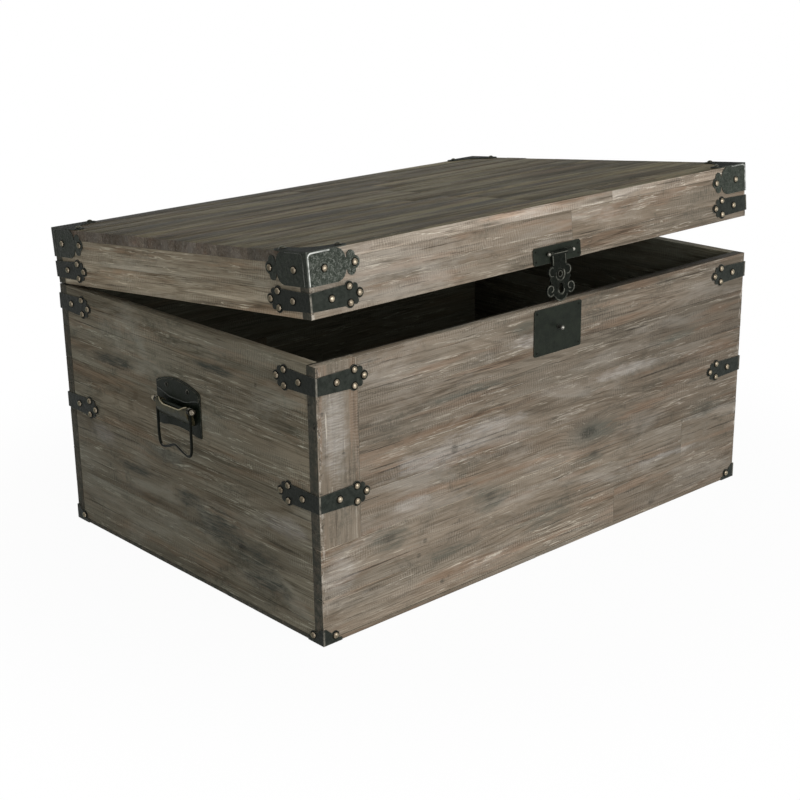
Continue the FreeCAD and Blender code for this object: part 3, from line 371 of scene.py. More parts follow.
    @staticmethod
    def tidy(piece: Piece, angle: float = 35.0) -> Piece:
        """Merges doubles, turns faces outwards and shades smooth below an angle."""
        Bench.pick([piece])
        bpy.ops.object.mode_set(mode="EDIT")
        bpy.ops.mesh.select_all(action="SELECT")
        bpy.ops.mesh.remove_doubles(threshold=MERGE)
        bpy.ops.mesh.normals_make_consistent(inside=False)
        bpy.ops.object.mode_set(mode="OBJECT")
        bpy.ops.object.shade_smooth_by_angle(angle=math.radians(angle))
        return piece

    @staticmethod
    def coat(piece: Piece, which: Callable[[bpy.types.MeshPolygon], int], *finishes: "Finish") -> None:
        """Adds finishes to a piece and gives each face the one that it is told."""
        for finish in finishes:
            piece.data.materials.append(finish.material())
        for face in piece.data.polygons:
            face.material_index = which(face)

    @staticmethod
    def hand_over(piece: Piece, body: str, finish: "Finish", *nodes: str) -> None:
        """Gives a finished piece its material, its body and the nodes that it stands for."""
        if not piece.data.materials:
            piece.data.materials.append(finish.material())
        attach(piece, body)
        if nodes:
            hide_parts(*nodes)
        LOG.info("%s rides on %s with %d faces", piece.name, body, len(piece.data.polygons))


# ---------------------------------------------------------------- shader desk


class Value:
    """A node's output socket. Its arithmetic adds nodes, and the other term is a number, a tuple or a value."""

    def __init__(self, desk: "Desk", socket: bpy.types.NodeSocket) -> None:
        """Keeps the socket and its desk."""
        self.desk, self.socket = desk, socket

    def __add__(self, other: object) -> "Value":
        """The sum."""
        return self.desk.math("ADD", self, other)

    def __sub__(self, other: object) -> "Value":
        """The difference."""
        return self.desk.math("SUBTRACT", self, other)

    def __rsub__(self, other: object) -> "Value":
        """A number less this value."""
        return self.desk.math("SUBTRACT", other, self)

    def __mul__(self, other: object) -> "Value":
        """The product."""
        return self.desk.math("MULTIPLY", self, other)

    def __abs__(self) -> "Value":
        """The value without its sign."""
        return self.desk.math("ABSOLUTE", self)

    def line(self, gain: object, offset: object) -> "Value":
        """The value times a gain, plus an offset."""
        return self.desk.math("MULTIPLY_ADD", self, gain, offset)

    def most(self, other: object) -> "Value":
        """The greater of two."""
        return self.desk.math("MAXIMUM", self, other)

    def ease(self, low: float, high: float) -> "Value":
        """A soft step from 0 at low to 1 at high, which may also fall."""
        return self.desk.get("MapRange", {0: self, 1: low, 2: high, 3: 0.0, 4: 1.0}, interpolation_type="SMOOTHSTEP")

    def wave(self) -> "Value":
        """A sine wave between 0 and 1."""
        return self.desk.math("SINE", self).line(0.5, 0.5)

    def thread(self, width: float) -> "Value":
        """A thin line wherever a noise crosses its middle."""
        return abs(self - 0.5).ease(width, 0.0)

    def scaled(self, by: Sequence[float]) -> "Value":
        """A vector times three numbers."""
        return self.desk.get("VectorMath", {0: self, 1: by}, operation="MULTIPLY")

    def shifted(self, by: "Value") -> "Value":
        """A vector plus another one."""
        return self.desk.get("VectorMath", {0: self, 1: by}, operation="ADD")

    def parts(self) -> list["Value"]:
        """A vector's x, y and z."""
        return list(self.desk.outs("SeparateXYZ", {0: self}).values())

    def channels(self) -> list["Value"]:
        """A colour's red, green and blue."""
        return list(self.desk.outs("SeparateColor", {0: self}).values())

    def noise(self, scale: Sequence[float], detail: float = 3.0, rough: float = 0.55, warp: float = 0.0) -> "Value":
        """Noise over a vector, scaled by one number, by one along x and one across, or by three."""
        by = tuple(scale) + (scale[-1],) * (3 - len(scale))
        return self.desk.get("TexNoise", {"Vector": self.scaled(by), "Scale": 1.0, "Detail": detail,
                                          "Roughness": rough, "Distortion": warp})

    def cells(self, scale: Sequence[float]) -> dict[str, "Value"]:
        """Voronoi cells over a vector that is first scaled."""
        return self.desk.outs("TexVoronoi", {"Vector": self.scaled(scale), "Scale": 1.0})

    def ramp(self, *stops: tuple[float, Colour]) -> "Value":
        """A colour ramp."""
        node = self.desk.add("ValToRGB", {0: self})
        while len(node.color_ramp.elements) < len(stops):
            node.color_ramp.elements.new(0.5)
        for element, (place, colour) in zip(node.color_ramp.elements, stops):
            element.position, element.color = place, (*colour, 1.0)
        return Value(self.desk, node.outputs[0])


class Desk:
    """A node tree and short calls that add to it."""

    def __init__(self, tree: bpy.types.NodeTree) -> None:
        """Empties the tree."""
        self.tree = tree
        tree.nodes.clear()

    def put(self, socket: bpy.types.NodeSocket, value: object) -> None:
        """Links a socket to a value or sets it."""
        if isinstance(value, Value):
            self.tree.links.new(value.socket, socket)
        elif hasattr(socket.default_value, "__len__") and len(socket.default_value) == 4 and len(value) == 3:
            socket.default_value = (*value, 1.0)
        else:
            socket.default_value = value

    def add(self, kind: str, inputs: dict | None = None, **settings: object) -> bpy.types.Node:
        """A node with settings, and with inputs by name or number."""
        node = self.tree.nodes.new("ShaderNode" + kind)
        node.location = (len(self.tree.nodes) * 190 % 2600, len(self.tree.nodes) // 14 * -320)
        for name, value in settings.items():
            setattr(node, name, value)
        for name, value in (inputs or {}).items():
            self.put(node.inputs[name], value)
        return node

    def outs(self, kind: str, inputs: dict | None = None, **settings: object) -> dict[str, Value]:
        """A new node's outputs by name."""
        return {socket.name: Value(self, socket) for socket in self.add(kind, inputs, **settings).outputs}

    def get(self, kind: str, inputs: dict | None = None, output: int = 0, **settings: object) -> Value:
        """One output of a new node."""
        return Value(self, self.add(kind, inputs, **settings).outputs[output])

    def math(self, operation: str, a: object, b: object = 0.0, c: object = 0.0) -> Value:
        """A math node."""
        return self.get("Math", {0: a, 1: b, 2: c}, operation=operation)

    def vector(self, x: object, y: object, z: object) -> Value:
        """A vector from three values."""
        return self.get("CombineXYZ", {0: x, 1: y, 2: z})

    def mix(self, factor: object, a: object, b: object, blend: str = "MIX") -> Value:
        """Two colours mixed."""
        return self.get("Mix", {0: factor, 6: a, 7: b}, 2, data_type="RGBA", blend_type=blend, clamp_factor=True)

    def normal(self) -> list[Value]:
        """The surface normal's x, y and z."""
        return self.outs("NewGeometry")["Normal"].parts()

    def call(self, shared: Callable[[], bpy.types.NodeTree], **inputs: object) -> dict[str, Value]:
        """The outputs of a shared node group."""
        return self.outs("Group", inputs, node_tree=shared())


Values = dict[str, Value]


def shared_group(inputs: dict[str, str], outputs: dict[str, str]) -> Callable:
    """Turns a function that fills a node group into one that returns the group, filled on first use.

    Args:
        inputs: kinds of the group's input sockets by name.
        outputs: kinds of its output sockets by name.
    """
    def wrap(fill: Callable[["Desk", Values], Values]) -> Callable[[], bpy.types.NodeTree]:
        """Names the group after the function."""
        def give() -> bpy.types.NodeTree:
            """The group, made where it isn't there yet."""
            if fill.__name__ not in bpy.data.node_groups:
                tree = bpy.data.node_groups.new(fill.__name__, "ShaderNodeTree")
                for way, kinds in (("INPUT", inputs), ("OUTPUT", outputs)):
                    for socket, kind in kinds.items():
                        tree.interface.new_socket(socket, in_out=way, socket_type="NodeSocket" + kind)
                desk = Desk(tree)
                source, target = tree.nodes.new("NodeGroupInput"), tree.nodes.new("NodeGroupOutput")
                made = fill(desk, {name: Value(desk, source.outputs[name]) for name in inputs})
                for name, value in made.items():
                    desk.put(target.inputs[name], value)
            return bpy.data.node_groups[fill.__name__]
        return give
    return wrap


@shared_group({"Position": "Vector", "Radius": "Float", "Breakup": "Float"}, {"Mask": "Float"})
def rubbed_edges(desk: Desk, given: Values) -> Values:
    """A mask of the sharp edges, broken up by noise."""
    soft = desk.get("Bevel", {"Radius": given["Radius"]}, samples=4)
    sharp = desk.outs("NewGeometry")["Normal"]
    edge = desk.outs("VectorMath", {0: soft, 1: sharp}, operation="DOT_PRODUCT")["Value"].ease(0.995, 0.86)
    worn = given["Position"].noise((160.0,), 4.0, 0.65).ease(0.35, 0.62)
    return {"Mask": edge * (1.0 - given["Breakup"] * (1.0 - worn))}


@shared_group({"Position": "Vector", "Stave": "Color", "Across": "Float", "Edge": "Float", "Stain": "Float",
               "Contrast": "Float", "Figure": "Float"}, {"Color": "Color", "Roughness": "Float", "Height": "Float"})
def old_wood(desk: Desk, given: Values) -> Values:
    """Saw-marked old softwood. Its grain runs along the position's x, or upright where Across is 1."""
    across = given["Across"]
    lightness, grey, seed = given["Stave"].channels()
    x, y, z = given["Position"].parts()
    laid = desk.get("Mix", {0: across, 4: given["Position"], 5: desk.vector(z, y, x)}, 1, data_type="VECTOR")
    flat = laid.scaled((1000.0, 1000.0, 1000.0))
    spot = flat.shifted(desk.vector(seed * 9000.0, seed * 3100.0, seed * 700.0))

    # knots, and grain that flows round them
    knots = spot.cells((0.0062, 0.014, 0.014))
    chosen = knots["Color"].channels()[0].ease(0.78, 0.80)
    away = knots["Distance"] + spot.noise((0.09, 0.16), 3.0, 0.6).line(0.16, -0.08)
    halo = away.ease(0.40, 0.08) * chosen
    knot = away.ease(0.15, 0.04) * chosen * spot.noise((0.5,), 3.0, 0.6).ease(0.30, 0.55)
    bent = spot.shifted(desk.vector(0.0, 0.0, halo * 9.0))

    # bands, streaks, fibres, threads, growth lines, cracks and pores
    bands = bent.noise((0.0030, 0.034), 4.0, 0.6, 0.4)
    streaks = bent.noise((0.0085, 0.30), 6.0, 0.72, 0.1)
    fibres = bent.noise((0.016, 0.95), 4.0, 0.72)
    dark_thread = bent.noise((0.0019, 0.085), 4.0, 0.6).thread(0.016) * spot.noise((0.008, 0.05), 2.0).ease(0.40, 0.56)
    pale_thread = bent.noise((0.0038, 0.085), 4.0, 0.6).thread(0.013) * spot.noise((0.006, 0.03), 3.0).ease(0.46, 0.58)
    growth = (bent.noise((0.0014, 0.014), 2.0, 0.45) * 150.0).wave().ease(0.62, 0.98)
    growth = growth * spot.noise((0.004, 0.02), 2.0).ease(0.40, 0.62)
    crack = bent.noise((0.0045, 0.27), 5.0, 0.62, 0.2).ease(0.365, 0.325)
    pore = bent.noise((0.05, 1.5), 2.0, 0.5).ease(0.37, 0.27)

    # saw marks across the grain
    along, _, off = flat.parts()
    comb = ((along + off.line(0.06, flat.noise((0.05,), 3.0) * 12.0)) * 1.75).wave()
    patch = spot.noise((0.009, 0.055), 5.0, 0.7).ease(0.46, 0.62)
    sawn = comb * patch

    # two tones of wood
    lively = spot.noise((0.0045, 0.022), 3.0, 0.55).ease(0.36, 0.64).line(0.9, 0.45) * given["Figure"]
    fine = streaks.line(1.15, -0.575) + fibres.line(1.1, -0.55)
    spread = (bands - 0.5) * given["Contrast"] * 1.6 + fine * lively - growth * 0.15
    blend = spread * across.line(-0.45, 1.0) + 0.5
    warm = blend.ramp((0.02, (0.062, 0.047, 0.034)), (0.30, (0.144, 0.112, 0.083)), (0.50, (0.214, 0.173, 0.135)),
                      (0.70, (0.286, 0.238, 0.192)), (0.98, (0.430, 0.378, 0.320)))
    cool = blend.ramp((0.02, (0.052, 0.047, 0.038)), (0.30, (0.126, 0.112, 0.090)), (0.50, (0.196, 0.174, 0.144)),
                      (0.70, (0.266, 0.240, 0.204)), (0.98, (0.405, 0.374, 0.330)))
    clouds = spot.noise((0.0050, 0.030), 4.0, 0.6, 0.4).ease(0.42, 0.60)
    colour = desk.mix(grey.line(0.30, clouds * 0.45).most(halo * 0.9), warm, cool)
    rosy = bent.noise((0.0045, 0.050), 3.0, 0.6).ease(0.54, 0.64)
    colour = desk.mix(rosy * 0.75, colour, (1.08, 0.94, 0.87), "MULTIPLY")

    # what lies over them, from the first to the last
    stain = flat.noise((0.0085, 0.017), 6.0, 0.72, 0.8).ease(0.51, 0.64)
    stain = stain * flat.noise((0.16,), 4.0, 0.7).ease(0.30, 0.66)
    haze = bent.noise((0.0046, 0.017), 6.0, 0.66, 0.6).ease(0.50, 0.70)
    fleck = bent.noise((0.016, 0.30), 5.0, 0.7, 0.3).ease(0.612, 0.652)
    fleck = fleck * spot.noise((0.005, 0.014), 3.0).ease(0.47, 0.60)
    dots = spot.cells((0.023, 0.023, 0.023))
    hole = dots["Distance"].ease(0.045, 0.024) * dots["Color"].channels()[1].ease(0.80, 0.82)
    for mask, share, tone in (
            (stain, given["Stain"], (0.062, 0.063, 0.051)), (halo, 0.50, (0.105, 0.102, 0.088)),
            (dark_thread, 0.70, (0.062, 0.051, 0.039)), (pale_thread, 0.85, (0.50, 0.46, 0.40)),
            (pore, 0.30, (0.085, 0.068, 0.052)), (crack, 0.72, (0.045, 0.037, 0.029)),
            (sawn, 0.20, (0.46, 0.42, 0.37)), ((1.0 - comb) * patch, 0.17, (0.05, 0.042, 0.034)),
            (haze, 0.45, (0.40, 0.375, 0.345)), (knot, 0.88, (0.036, 0.033, 0.027)),
            (fleck, 0.75, (0.56, 0.52, 0.46)), (hole, 0.85, (0.030, 0.026, 0.021))):
        colour = desk.mix(mask * share, colour, tone)
    light = lightness.line(0.80, 0.60)
    colour = desk.mix(1.0, colour, desk.get("CombineColor", {0: light, 1: light, 2: light}), "MULTIPLY")
    colour = desk.mix(given["Edge"] * 0.40, colour, (0.40, 0.355, 0.30))
    height = fibres * 0.35 + streaks * 0.5
    for dip, share in ((growth, 0.10), (crack, 0.60), (pore, 0.20), (hole, 0.9)):
        height = height - dip * share
    return {"Color": colour, "Roughness": fibres.line(0.25, crack.line(0.1, 0.66)), "Height": height + sawn * 0.30}


@shared_group({"Position": "Vector", "Middle": "Vector", "Reach": "Vector"}, {"Distance": "Float"})
def oval(desk: Desk, given: Values) -> Values:
    """How far a position lies from a middle, where 1 is an oval with the given reach."""
    away = desk.get("VectorMath", {0: given["Position"], 1: given["Middle"]}, operation="SUBTRACT")
    part = desk.get("VectorMath", {0: away, 1: given["Reach"]}, operation="DIVIDE")
    return {"Distance": desk.outs("VectorMath", {0: part}, operation="LENGTH")["Value"]}


@shared_group({"Position": "Vector", "Distance": "Float"}, {"Mask": "Float"})
def ragged_mark(desk: Desk, given: Values) -> Values:
    """A mark with a ragged, soft rim, from the distance to its middle."""
    away = given["Distance"] + given["Position"].noise((26.0, 26.0, 75.0), 6.0, 0.72, 0.4).line(1.9, -0.95)
    fibres = given["Position"].noise((34.0, 34.0, 480.0), 4.0, 0.6, 0.5).ease(0.40, 0.60).line(0.55, 0.45)
    return {"Mask": away.ease(1.05, 0.30) * fibres}


@shared_group({"Position": "Vector", "Size": "Float"}, {"Height": "Float", "Mottle": "Float", "Speck": "Float"})
def beaten_iron(desk: Desk, given: Values) -> Values:
    """Beaten and pitted iron, as a height, a mottling and bright specks."""
    spot = desk.get("VectorMath", {0: given["Position"], 3: given["Size"]}, operation="SCALE")
    dents = desk.outs("TexVoronoi", {"Vector": spot, "Scale": 1.0, "Smoothness": 0.6}, feature="SMOOTH_F1")["Distance"]
    pits = spot.noise((2.6,), 5.0, 0.65).ease(0.42, 0.30)
    ridge = desk.outs("TexVoronoi", {"Vector": spot, "Scale": 1.7}, feature="DISTANCE_TO_EDGE")["Distance"]
    ridge = ridge.ease(0.20, 0.02) * spot.noise((1.1,), 4.0, 0.7).ease(0.42, 0.60)
    speck = spot.noise((3.2,), 3.0, 0.6).ease(0.60, 0.70)
    return {"Height": dents * 0.7 - pits * 0.45, "Mottle": spot.noise((0.6,), 5.0, 0.65),
            "Speck": (ridge * 0.9).most(speck)}


# ---------------------------------------------------------------- finishes


class Grain(Enum):
    """Which way a board's grain runs, as the turns that bring it to x."""

    LENGTHWISE = (0.0, 0.0, 0.0)
    CROSSWISE = (0.0, 0.0, -90.0)
    CROSSWISE_LID = (5.5, 0.0, -90.0)


@dataclass(frozen=True)
class Finish:
    """A finish, whose material is made once and shared."""

    name: str
    slot: str

    def material(self) -> bpy.types.Material:
        """The material, built on first use."""
        known = bpy.data.materials.get(self.name)
        if known:
            return known
        material = bpy.data.materials.new(self.name)
        material.use_nodes = True
        desk = Desk(material.node_tree)
        shader = desk.add("BsdfPrincipled")
        desk.add("OutputMaterial", {0: Value(desk, shader.outputs[0])})
        for name, value in self.dress(desk, desk.outs("TexCoord")["Object"]).items():
            desk.put(shader.inputs[name], value)
        return material

    def dress(self, desk: Desk, position: Value) -> dict[str, object]:
        """What this finish puts in the shader's inputs, by name."""
        raise NotImplementedError

    @staticmethod
    def edges(desk: Desk, position: Value, radius: float, breakup: float) -> Value:
        """The mask of rubbed edges."""
        return desk.call(rubbed_edges, Position=position, Radius=radius, Breakup=breakup)["Mask"]

    @staticmethod
    def bump(desk: Desk, height: Value, depth: float, strength: float) -> Value:
        """A normal from a height."""
        return desk.get("Bump", {"Height": height, "Distance": depth, "Strength": strength})


@dataclass(frozen=True)
class OldBoards(Finish):
    """Old saw-marked boards. The tint multiplies their colour: it darkens the inside boards, and on the lid top and the
    side boards it paints shade.
    """

    slot: str = "old_boards"
    grain: Grain = Grain.LENGTHWISE
    stain: float = 0.45
    contrast: float = 1.0
    figure: float = 1.0
    # far_end dims the board towards its right end as painted shade; high_end darkens it towards the top
    far_end: float = 1.0
    high_end: float = 1.0
    smear: float = 0.58
    knot: float = 0.84
    ends: float = 1.0
    rim: bool = False
    tint: Colour = (1.0, 1.0, 1.0)
    smears: tuple[Mark, ...] = ()
    knots: tuple[Mark, ...] = ()
    lights: tuple[Mark, ...] = ()

    def marks(self, desk: Desk, position: Value, spots: Sequence[Mark]) -> Value:
        """The mask of the marks at some spots."""
        away: object = 9.0
        for spot in spots:
            middle, reach = [part * MM for part in spot[:3]], [part * MM for part in spot[3:]]
            found = desk.call(oval, Position=position, Middle=middle, Reach=reach)["Distance"]
            away = desk.math("MINIMUM", away, found)
        return desk.call(ragged_mark, Position=position, Distance=away)["Mask"]

    def rim_light_and_shade(self, desk: Desk, position: Value, colour: Value) -> Value:
        """The rim of the front board, painted: its outer part is lightened as painted light at the left and grows
        darker towards the right, and its inner part is darkened as painted shade.
        """
        x, y, _ = position.parts()
        upward = desk.normal()[2].ease(0.7, 0.9)
        shares = desk.mix(x.ease(0.02, 0.12), (2.3, 2.35, 2.35), (0.42, 0.44, 0.44))
        shares = desk.mix(y.ease(-0.2645, -0.2620), shares, (0.22, 0.24, 0.22))
        return desk.mix(upward, colour, desk.mix(1.0, colour, shares, "MULTIPLY"))

    def chipped_corners(self, desk: Desk, position: Value, colour: Value) -> Value:
        """Pale chips and dark pits beside the upright edges of the front."""
        close = abs(position.parts()[0]).ease(0.3890, 0.3990) * abs(desk.normal()[1]).ease(0.6, 0.9)
        chip = position.noise((160.0, 160.0, 62.0), 5.0, 0.75).ease(0.53, 0.60)
        pit = position.noise((150.0, 150.0, 95.0), 5.0, 0.75, 0.4).ease(0.575, 0.625)
        colour = desk.mix(chip * close * 0.55, colour, (0.50, 0.46, 0.40))
        return desk.mix(pit * close * 0.85, colour, (0.022, 0.020, 0.016))

    def end_grain(self, desk: Desk, position: Value, colour: Value) -> Value:
        """Dark, chipped and gouged end grain on the board's two ends."""
        end = abs(desk.normal()[0]).ease(0.6, 0.9) * self.ends
        chips = position.noise((110.0,), 5.0, 0.7).ease(0.62, 0.40)
        colour = desk.mix(end * chips.line(0.42, 0.54), colour, (0.050, 0.053, 0.041))
        gouge = position.noise((75.0,), 5.0, 0.75).ease(0.60, 0.66)
        return desk.mix(end * (gouge * 0.85), colour, (0.010, 0.010, 0.008))

    def dress(self, desk: Desk, position: Value) -> dict[str, object]:
        """Wood whose grain is turned to run along the board."""
        turned = desk.get("Mapping", {"Vector": position, "Rotation": [math.radians(a) for a in self.grain.value]})
        stave = desk.outs("Attribute", attribute_name="stave")
        wood = desk.call(old_wood, Position=turned, Stave=stave["Color"], Across=stave["Alpha"],
                         Edge=self.edges(desk, position, 0.0022, 0.8), Stain=self.stain, Contrast=self.contrast,
                         Figure=self.figure)
        colour = desk.mix(1.0, wood["Color"], self.tint, "MULTIPLY")
        # painted shade towards the right end (far_end), and darker towards the top (high_end)
        for share, axis, low, high in ((self.far_end, 0, -0.15, 0.35), (self.high_end, 2, 0.08, 0.22)):
            if share < 1.0:
                dimmed = desk.mix(1.0, colour, (share,) * 3, "MULTIPLY")
                colour = desk.mix(position.parts()[axis].ease(low, high), colour, dimmed)
        for spots, share, tone in ((self.lights, 0.34, (0.47, 0.45, 0.42)),
                                   (self.smears, self.smear, (0.066, 0.070, 0.057)),
                                   (self.knots, self.knot, (0.038, 0.035, 0.028))):
            if spots:
                colour = desk.mix(self.marks(desk, position, spots) * share, colour, tone)
        # the rim takes painted light and shade; the upright edges take real chips and pits
        if self.rim:
            colour = self.chipped_corners(desk, position, self.rim_light_and_shade(desk, position, colour))
        if self.grain is Grain.LENGTHWISE:
            colour = self.end_grain(desk, position, colour)
        return {"Base Color": colour, "Roughness": wood["Roughness"], "Specular IOR Level": 0.14,
                "Normal": self.bump(desk, wood["Height"], 0.0012, 0.8)}


@dataclass(frozen=True)
class Iron(Finish):
    """Beaten iron with rubbed edges. It is black, and metal only where it is rubbed or given a metal share; its
    settings can also paint highlights and shade into it.
    """

    slot: str = "black_iron"
    dark: Colour = (0.008, 0.0100, 0.0085)
    pale: Colour = (0.022, 0.025, 0.0215)
    # the rubbed colour is that of rubbed metal, and also of the painted highlights that share its mask
    rubbed: Colour = (0.20, 0.185, 0.155)
    rub: float = 0.6
    rough: float = 0.50
    beaten: float = 230.0
    depth: float = 0.0008
    metal: float = 0.0
    speck: float = 0.0
    bend: float = 0.0
    # a painted highlight on faces that look up, added to the rubbed mask
    crest_highlight: float = 0.0
    # painted shade on faces turned sideways
    shade: float = 0.0
    # painted shade on faces that look down
    under: float = 0.0
    gloss: float = 0.10

    def corner_bend_wear_and_highlight(self, position: Value, across: Value) -> Value:
        """A mask of the bend round the trunk's upright edges, on the front and back leaf only: rubbed wear, and a
        painted highlight that the side leaf doesn't get.
        """
        x, y, _ = position.parts()
        close = abs(x).ease(0.3982, 0.3992) * abs(y).ease(0.255, 0.268)
        return close * across * position.noise((120.0,), 3.0, 0.6).ease(0.30, 0.60)

    def dress(self, desk: Desk, position: Value) -> dict[str, object]:
        """Dark iron, mottled, with worn edges, bright specks, and the painted highlights and shade that its settings
        ask for.
        """
        iron = desk.call(beaten_iron, Position=position, Size=self.beaten)
        mottle = iron["Mottle"].ease(0.32, 0.70)
        _, facing, upward = desk.normal()
        across = abs(facing).ease(0.35, 0.85)
        # the mask of rubbed metal, to which painted glints and highlights are added below
        bare_and_glint = self.edges(desk, position, 0.0009, 0.75) * self.rub
        # bright specks of worn metal, made stronger as painted glints on faces that look to the front or back, and
        # towards the left end
        if self.speck:
            nearer = position.parts()[0].ease(0.2, -0.2).line(0.6, 0.4)
            bare_and_glint = bare_and_glint.most(iron["Speck"] * (across.line(0.75 * self.speck, 0.25 * self.speck) * nearer))
        # the corner bend: rubbed wear and painted highlight on the front and back leaf
        if self.bend:
            bare_and_glint = bare_and_glint.most(self.corner_bend_wear_and_highlight(position, across) * self.bend)
        # painted highlight on faces that look up
        if self.crest_highlight:
            bare_and_glint = bare_and_glint.most(upward.ease(0.70, 0.98) * self.crest_highlight)
        colour = desk.mix(bare_and_glint, desk.mix(mottle, self.dark, self.pale), self.rubbed)
        # painted shade: faces that look neither to the front or back nor up are darkened
        if self.shade:
            turned = 1.0 - across.most(upward.ease(0.3, 0.8))
            colour = desk.mix(turned * self.shade, colour, tuple(part * 0.6 for part in self.dark))
        # painted shade on faces that look down
        if self.under:
            colour = desk.mix(upward.ease(-0.05, -0.45) * self.under, colour, (0.004, 0.005, 0.004))
        return {"Base Color": colour, "Roughness": bare_and_glint.line(-0.12, mottle.line(0.16, self.rough - 0.08)),
                "Metallic": (bare_and_glint * 0.6).most(self.metal), "Specular IOR Level": self.gloss,
                "Specular Tint": (0.92, 1.0, 0.80, 1.0), "Normal": self.bump(desk, iron["Height"], self.depth, 0.7)}


def on_front(*spots: tuple[float, float, float, float]) -> tuple[Mark, ...]:
    """Marks on the front, each from its x and z and its reach along and up, in millimetres."""
    return tuple((x, -275.0, z, wide, 30.0, tall) for x, z, wide, tall in spots)


def on_left(*spots: tuple[float, float, float, float]) -> tuple[Mark, ...]:
    """Marks on the left side, each from its y and z and its reach along and up, in millimetres."""
    return tuple((-400.0, y, z, 30.0, wide, tall) for y, z, wide, tall in spots)


FRONT_WOOD = OldBoards(
    "boards_front", stain=0.5, contrast=0.5, figure=0.85, far_end=0.84, high_end=0.84, smear=0.62, knot=0.70,
    rim=True, tint=(0.80, 0.78, 0.73),
    smears=on_front(
        (104, 152, 58, 20), (-12, 56, 64, 22), (-120, 112, 44, 24), (-294, 106, 44, 22), (76, 118, 44, 16),
        (326, 125, 42, 14), (-58, 323, 30, 10), (-190, 60, 60, 10), (250, 250, 60, 9), (-150, 262, 90, 7)),
    knots=on_front(
        (-184, 194, 8, 9), (-120, 112, 14, 9), (-294, 106, 15, 8), (326, 125, 14, 7), (79, 120, 16, 7), (208, 12, 9, 5),
        (-235, 86, 4.5, 4), (-246, 69, 4.5, 4), (-176, 97, 4, 3.5), (-206, 22, 4.5, 4), (-195, 26, 4, 3.5),
        (-392, 288, 3.5, 3), (-387, 236, 4, 2.5), (-362, 234, 4, 2.5), (-340, 236, 3.5, 2.5), (-392, 60, 5, 3)),
    lights=on_front(
        (-215, 190, 105, 20), (-374, 82, 34, 26), (-255, 142, 44, 10), (-125, 208, 80, 13), (-30, 305, 70, 13),
        (-374, 262, 24, 66), (234, 76, 76, 6), (150, 225, 90, 9)))
LID_EDGE_WOOD = OldBoards("boards_lid_edge", contrast=0.5, ends=0.22, tint=(1.00, 0.98, 0.945))
# the lid top's dark tint and the side boards' greener tint paint shade: the tone these faces take out of the lamp's
# light
TOP_WOOD = OldBoards("boards_top", stain=0.75, contrast=3.0, figure=2.0, ends=0.4, tint=(0.51, 0.50, 0.355))
SIDE_WOOD = OldBoards(
    "boards_side", grain=Grain.CROSSWISE, stain=0.70, contrast=0.55, figure=0.80, smear=0.98, tint=(1.05, 1.10, 0.985),
    smears=on_left((-7, 109, 44, 16), (-78, 89, 72, 28), (-145, 70, 60, 26), (116, 118, 50, 11), (-171, 46, 60, 18),
                   (150, 262, 70, 9), (-80, 300, 60, 7)),
    knots=on_left((-162, 299, 4, 3.5), (-120, 78, 14, 9)),
    lights=on_left((-209, 133, 48, 17), (190, 150, 40, 20)))
LID_SIDE_WOOD = OldBoards("boards_lid_side", grain=Grain.CROSSWISE_LID, contrast=0.9, tint=(1.48, 1.47, 1.30))
INSIDE = OldBoards("inside_lengthwise", contrast=0.15, stain=0.2, tint=(0.285, 0.318, 0.262))
INSIDE_CROSS = OldBoards("inside_crosswise", grain=Grain.CROSSWISE, contrast=0.15, stain=0.2, tint=(0.55, 0.60, 0.51))
STRAP_IRON = Iron("strap_iron", bend=0.75)
CAP_IRON = Iron("cap_iron", bend=0.3, speck=0.85, beaten=230.0, depth=0.0012, dark=(0.013, 0.0165, 0.0130),
                pale=(0.034, 0.040, 0.032), rubbed=(0.135, 0.142, 0.126))
FLANGE_IRON = Iron("flange_iron", speck=0.5, gloss=0.01, rough=0.7)
# the cap beads paint the highlight along a lid cap's bend: bright on the front leaf, dim on the side leaf
FRONT_BEAD_HIGHLIGHT = Iron("cap_bead_highlight", slot="worn_steel", dark=(0.14, 0.145, 0.135), pale=(0.62, 0.63, 0.59), rub=0.3,
                beaten=140.0, depth=0.0002, rough=0.36, metal=0.2)
SIDE_BEAD_DIM_HIGHLIGHT = Iron("side_bead_dim_highlight", dark=(0.02, 0.022, 0.019), pale=(0.16, 0.165, 0.15), rub=0.3, beaten=140.0, depth=0.0002,
                 rough=0.36)
LEAF_IRON = Iron("leaf_iron", beaten=160.0, depth=0.0003, dark=(0.0046, 0.0062, 0.0046), pale=(0.011, 0.0138, 0.0100),
                 rub=0.45)
TACK_IRON = Iron("tack_iron", beaten=300.0, depth=0.0003, dark=(0.002, 0.0026, 0.002), pale=(0.005, 0.006, 0.0048),
                 rub=0.2, gloss=0.05)
HASP_IRON = Iron("hasp_iron", slot="pewter_black", dark=(0.0018, 0.0024, 0.0018), pale=(0.0075, 0.0088, 0.0070),
                 rub=0.45, rubbed=(0.15, 0.15, 0.125), beaten=420.0, depth=0.0004, gloss=0.04)
# the pale scroll iron also carries painted highlights: the crescent round the roundel and the line along the knuckle
SCROLL_IRON = Iron("scroll_iron", slot="pewter_black", dark=(0.012, 0.013, 0.011), pale=(0.135, 0.135, 0.112), rub=0.3,
                   rubbed=(0.24, 0.235, 0.20), beaten=260.0, depth=0.0002, metal=0.2, gloss=0.06)
GRIP_IRON = Iron("grip_iron", dark=(0.0036, 0.0056, 0.0034), pale=(0.0086, 0.0122, 0.0074), rub=0.75,
                 rubbed=(0.20, 0.19, 0.15), beaten=300.0, depth=0.0003, rough=0.44, gloss=0.07)
BAIL_IRON = Iron("bail_iron", dark=(0.0022, 0.0028, 0.0022), pale=(0.0060, 0.007, 0.0052), rub=0.6, crest_highlight=0.8,
                 rubbed=(0.46, 0.43, 0.36), beaten=420.0, depth=0.0003, rough=0.42, gloss=0.07)
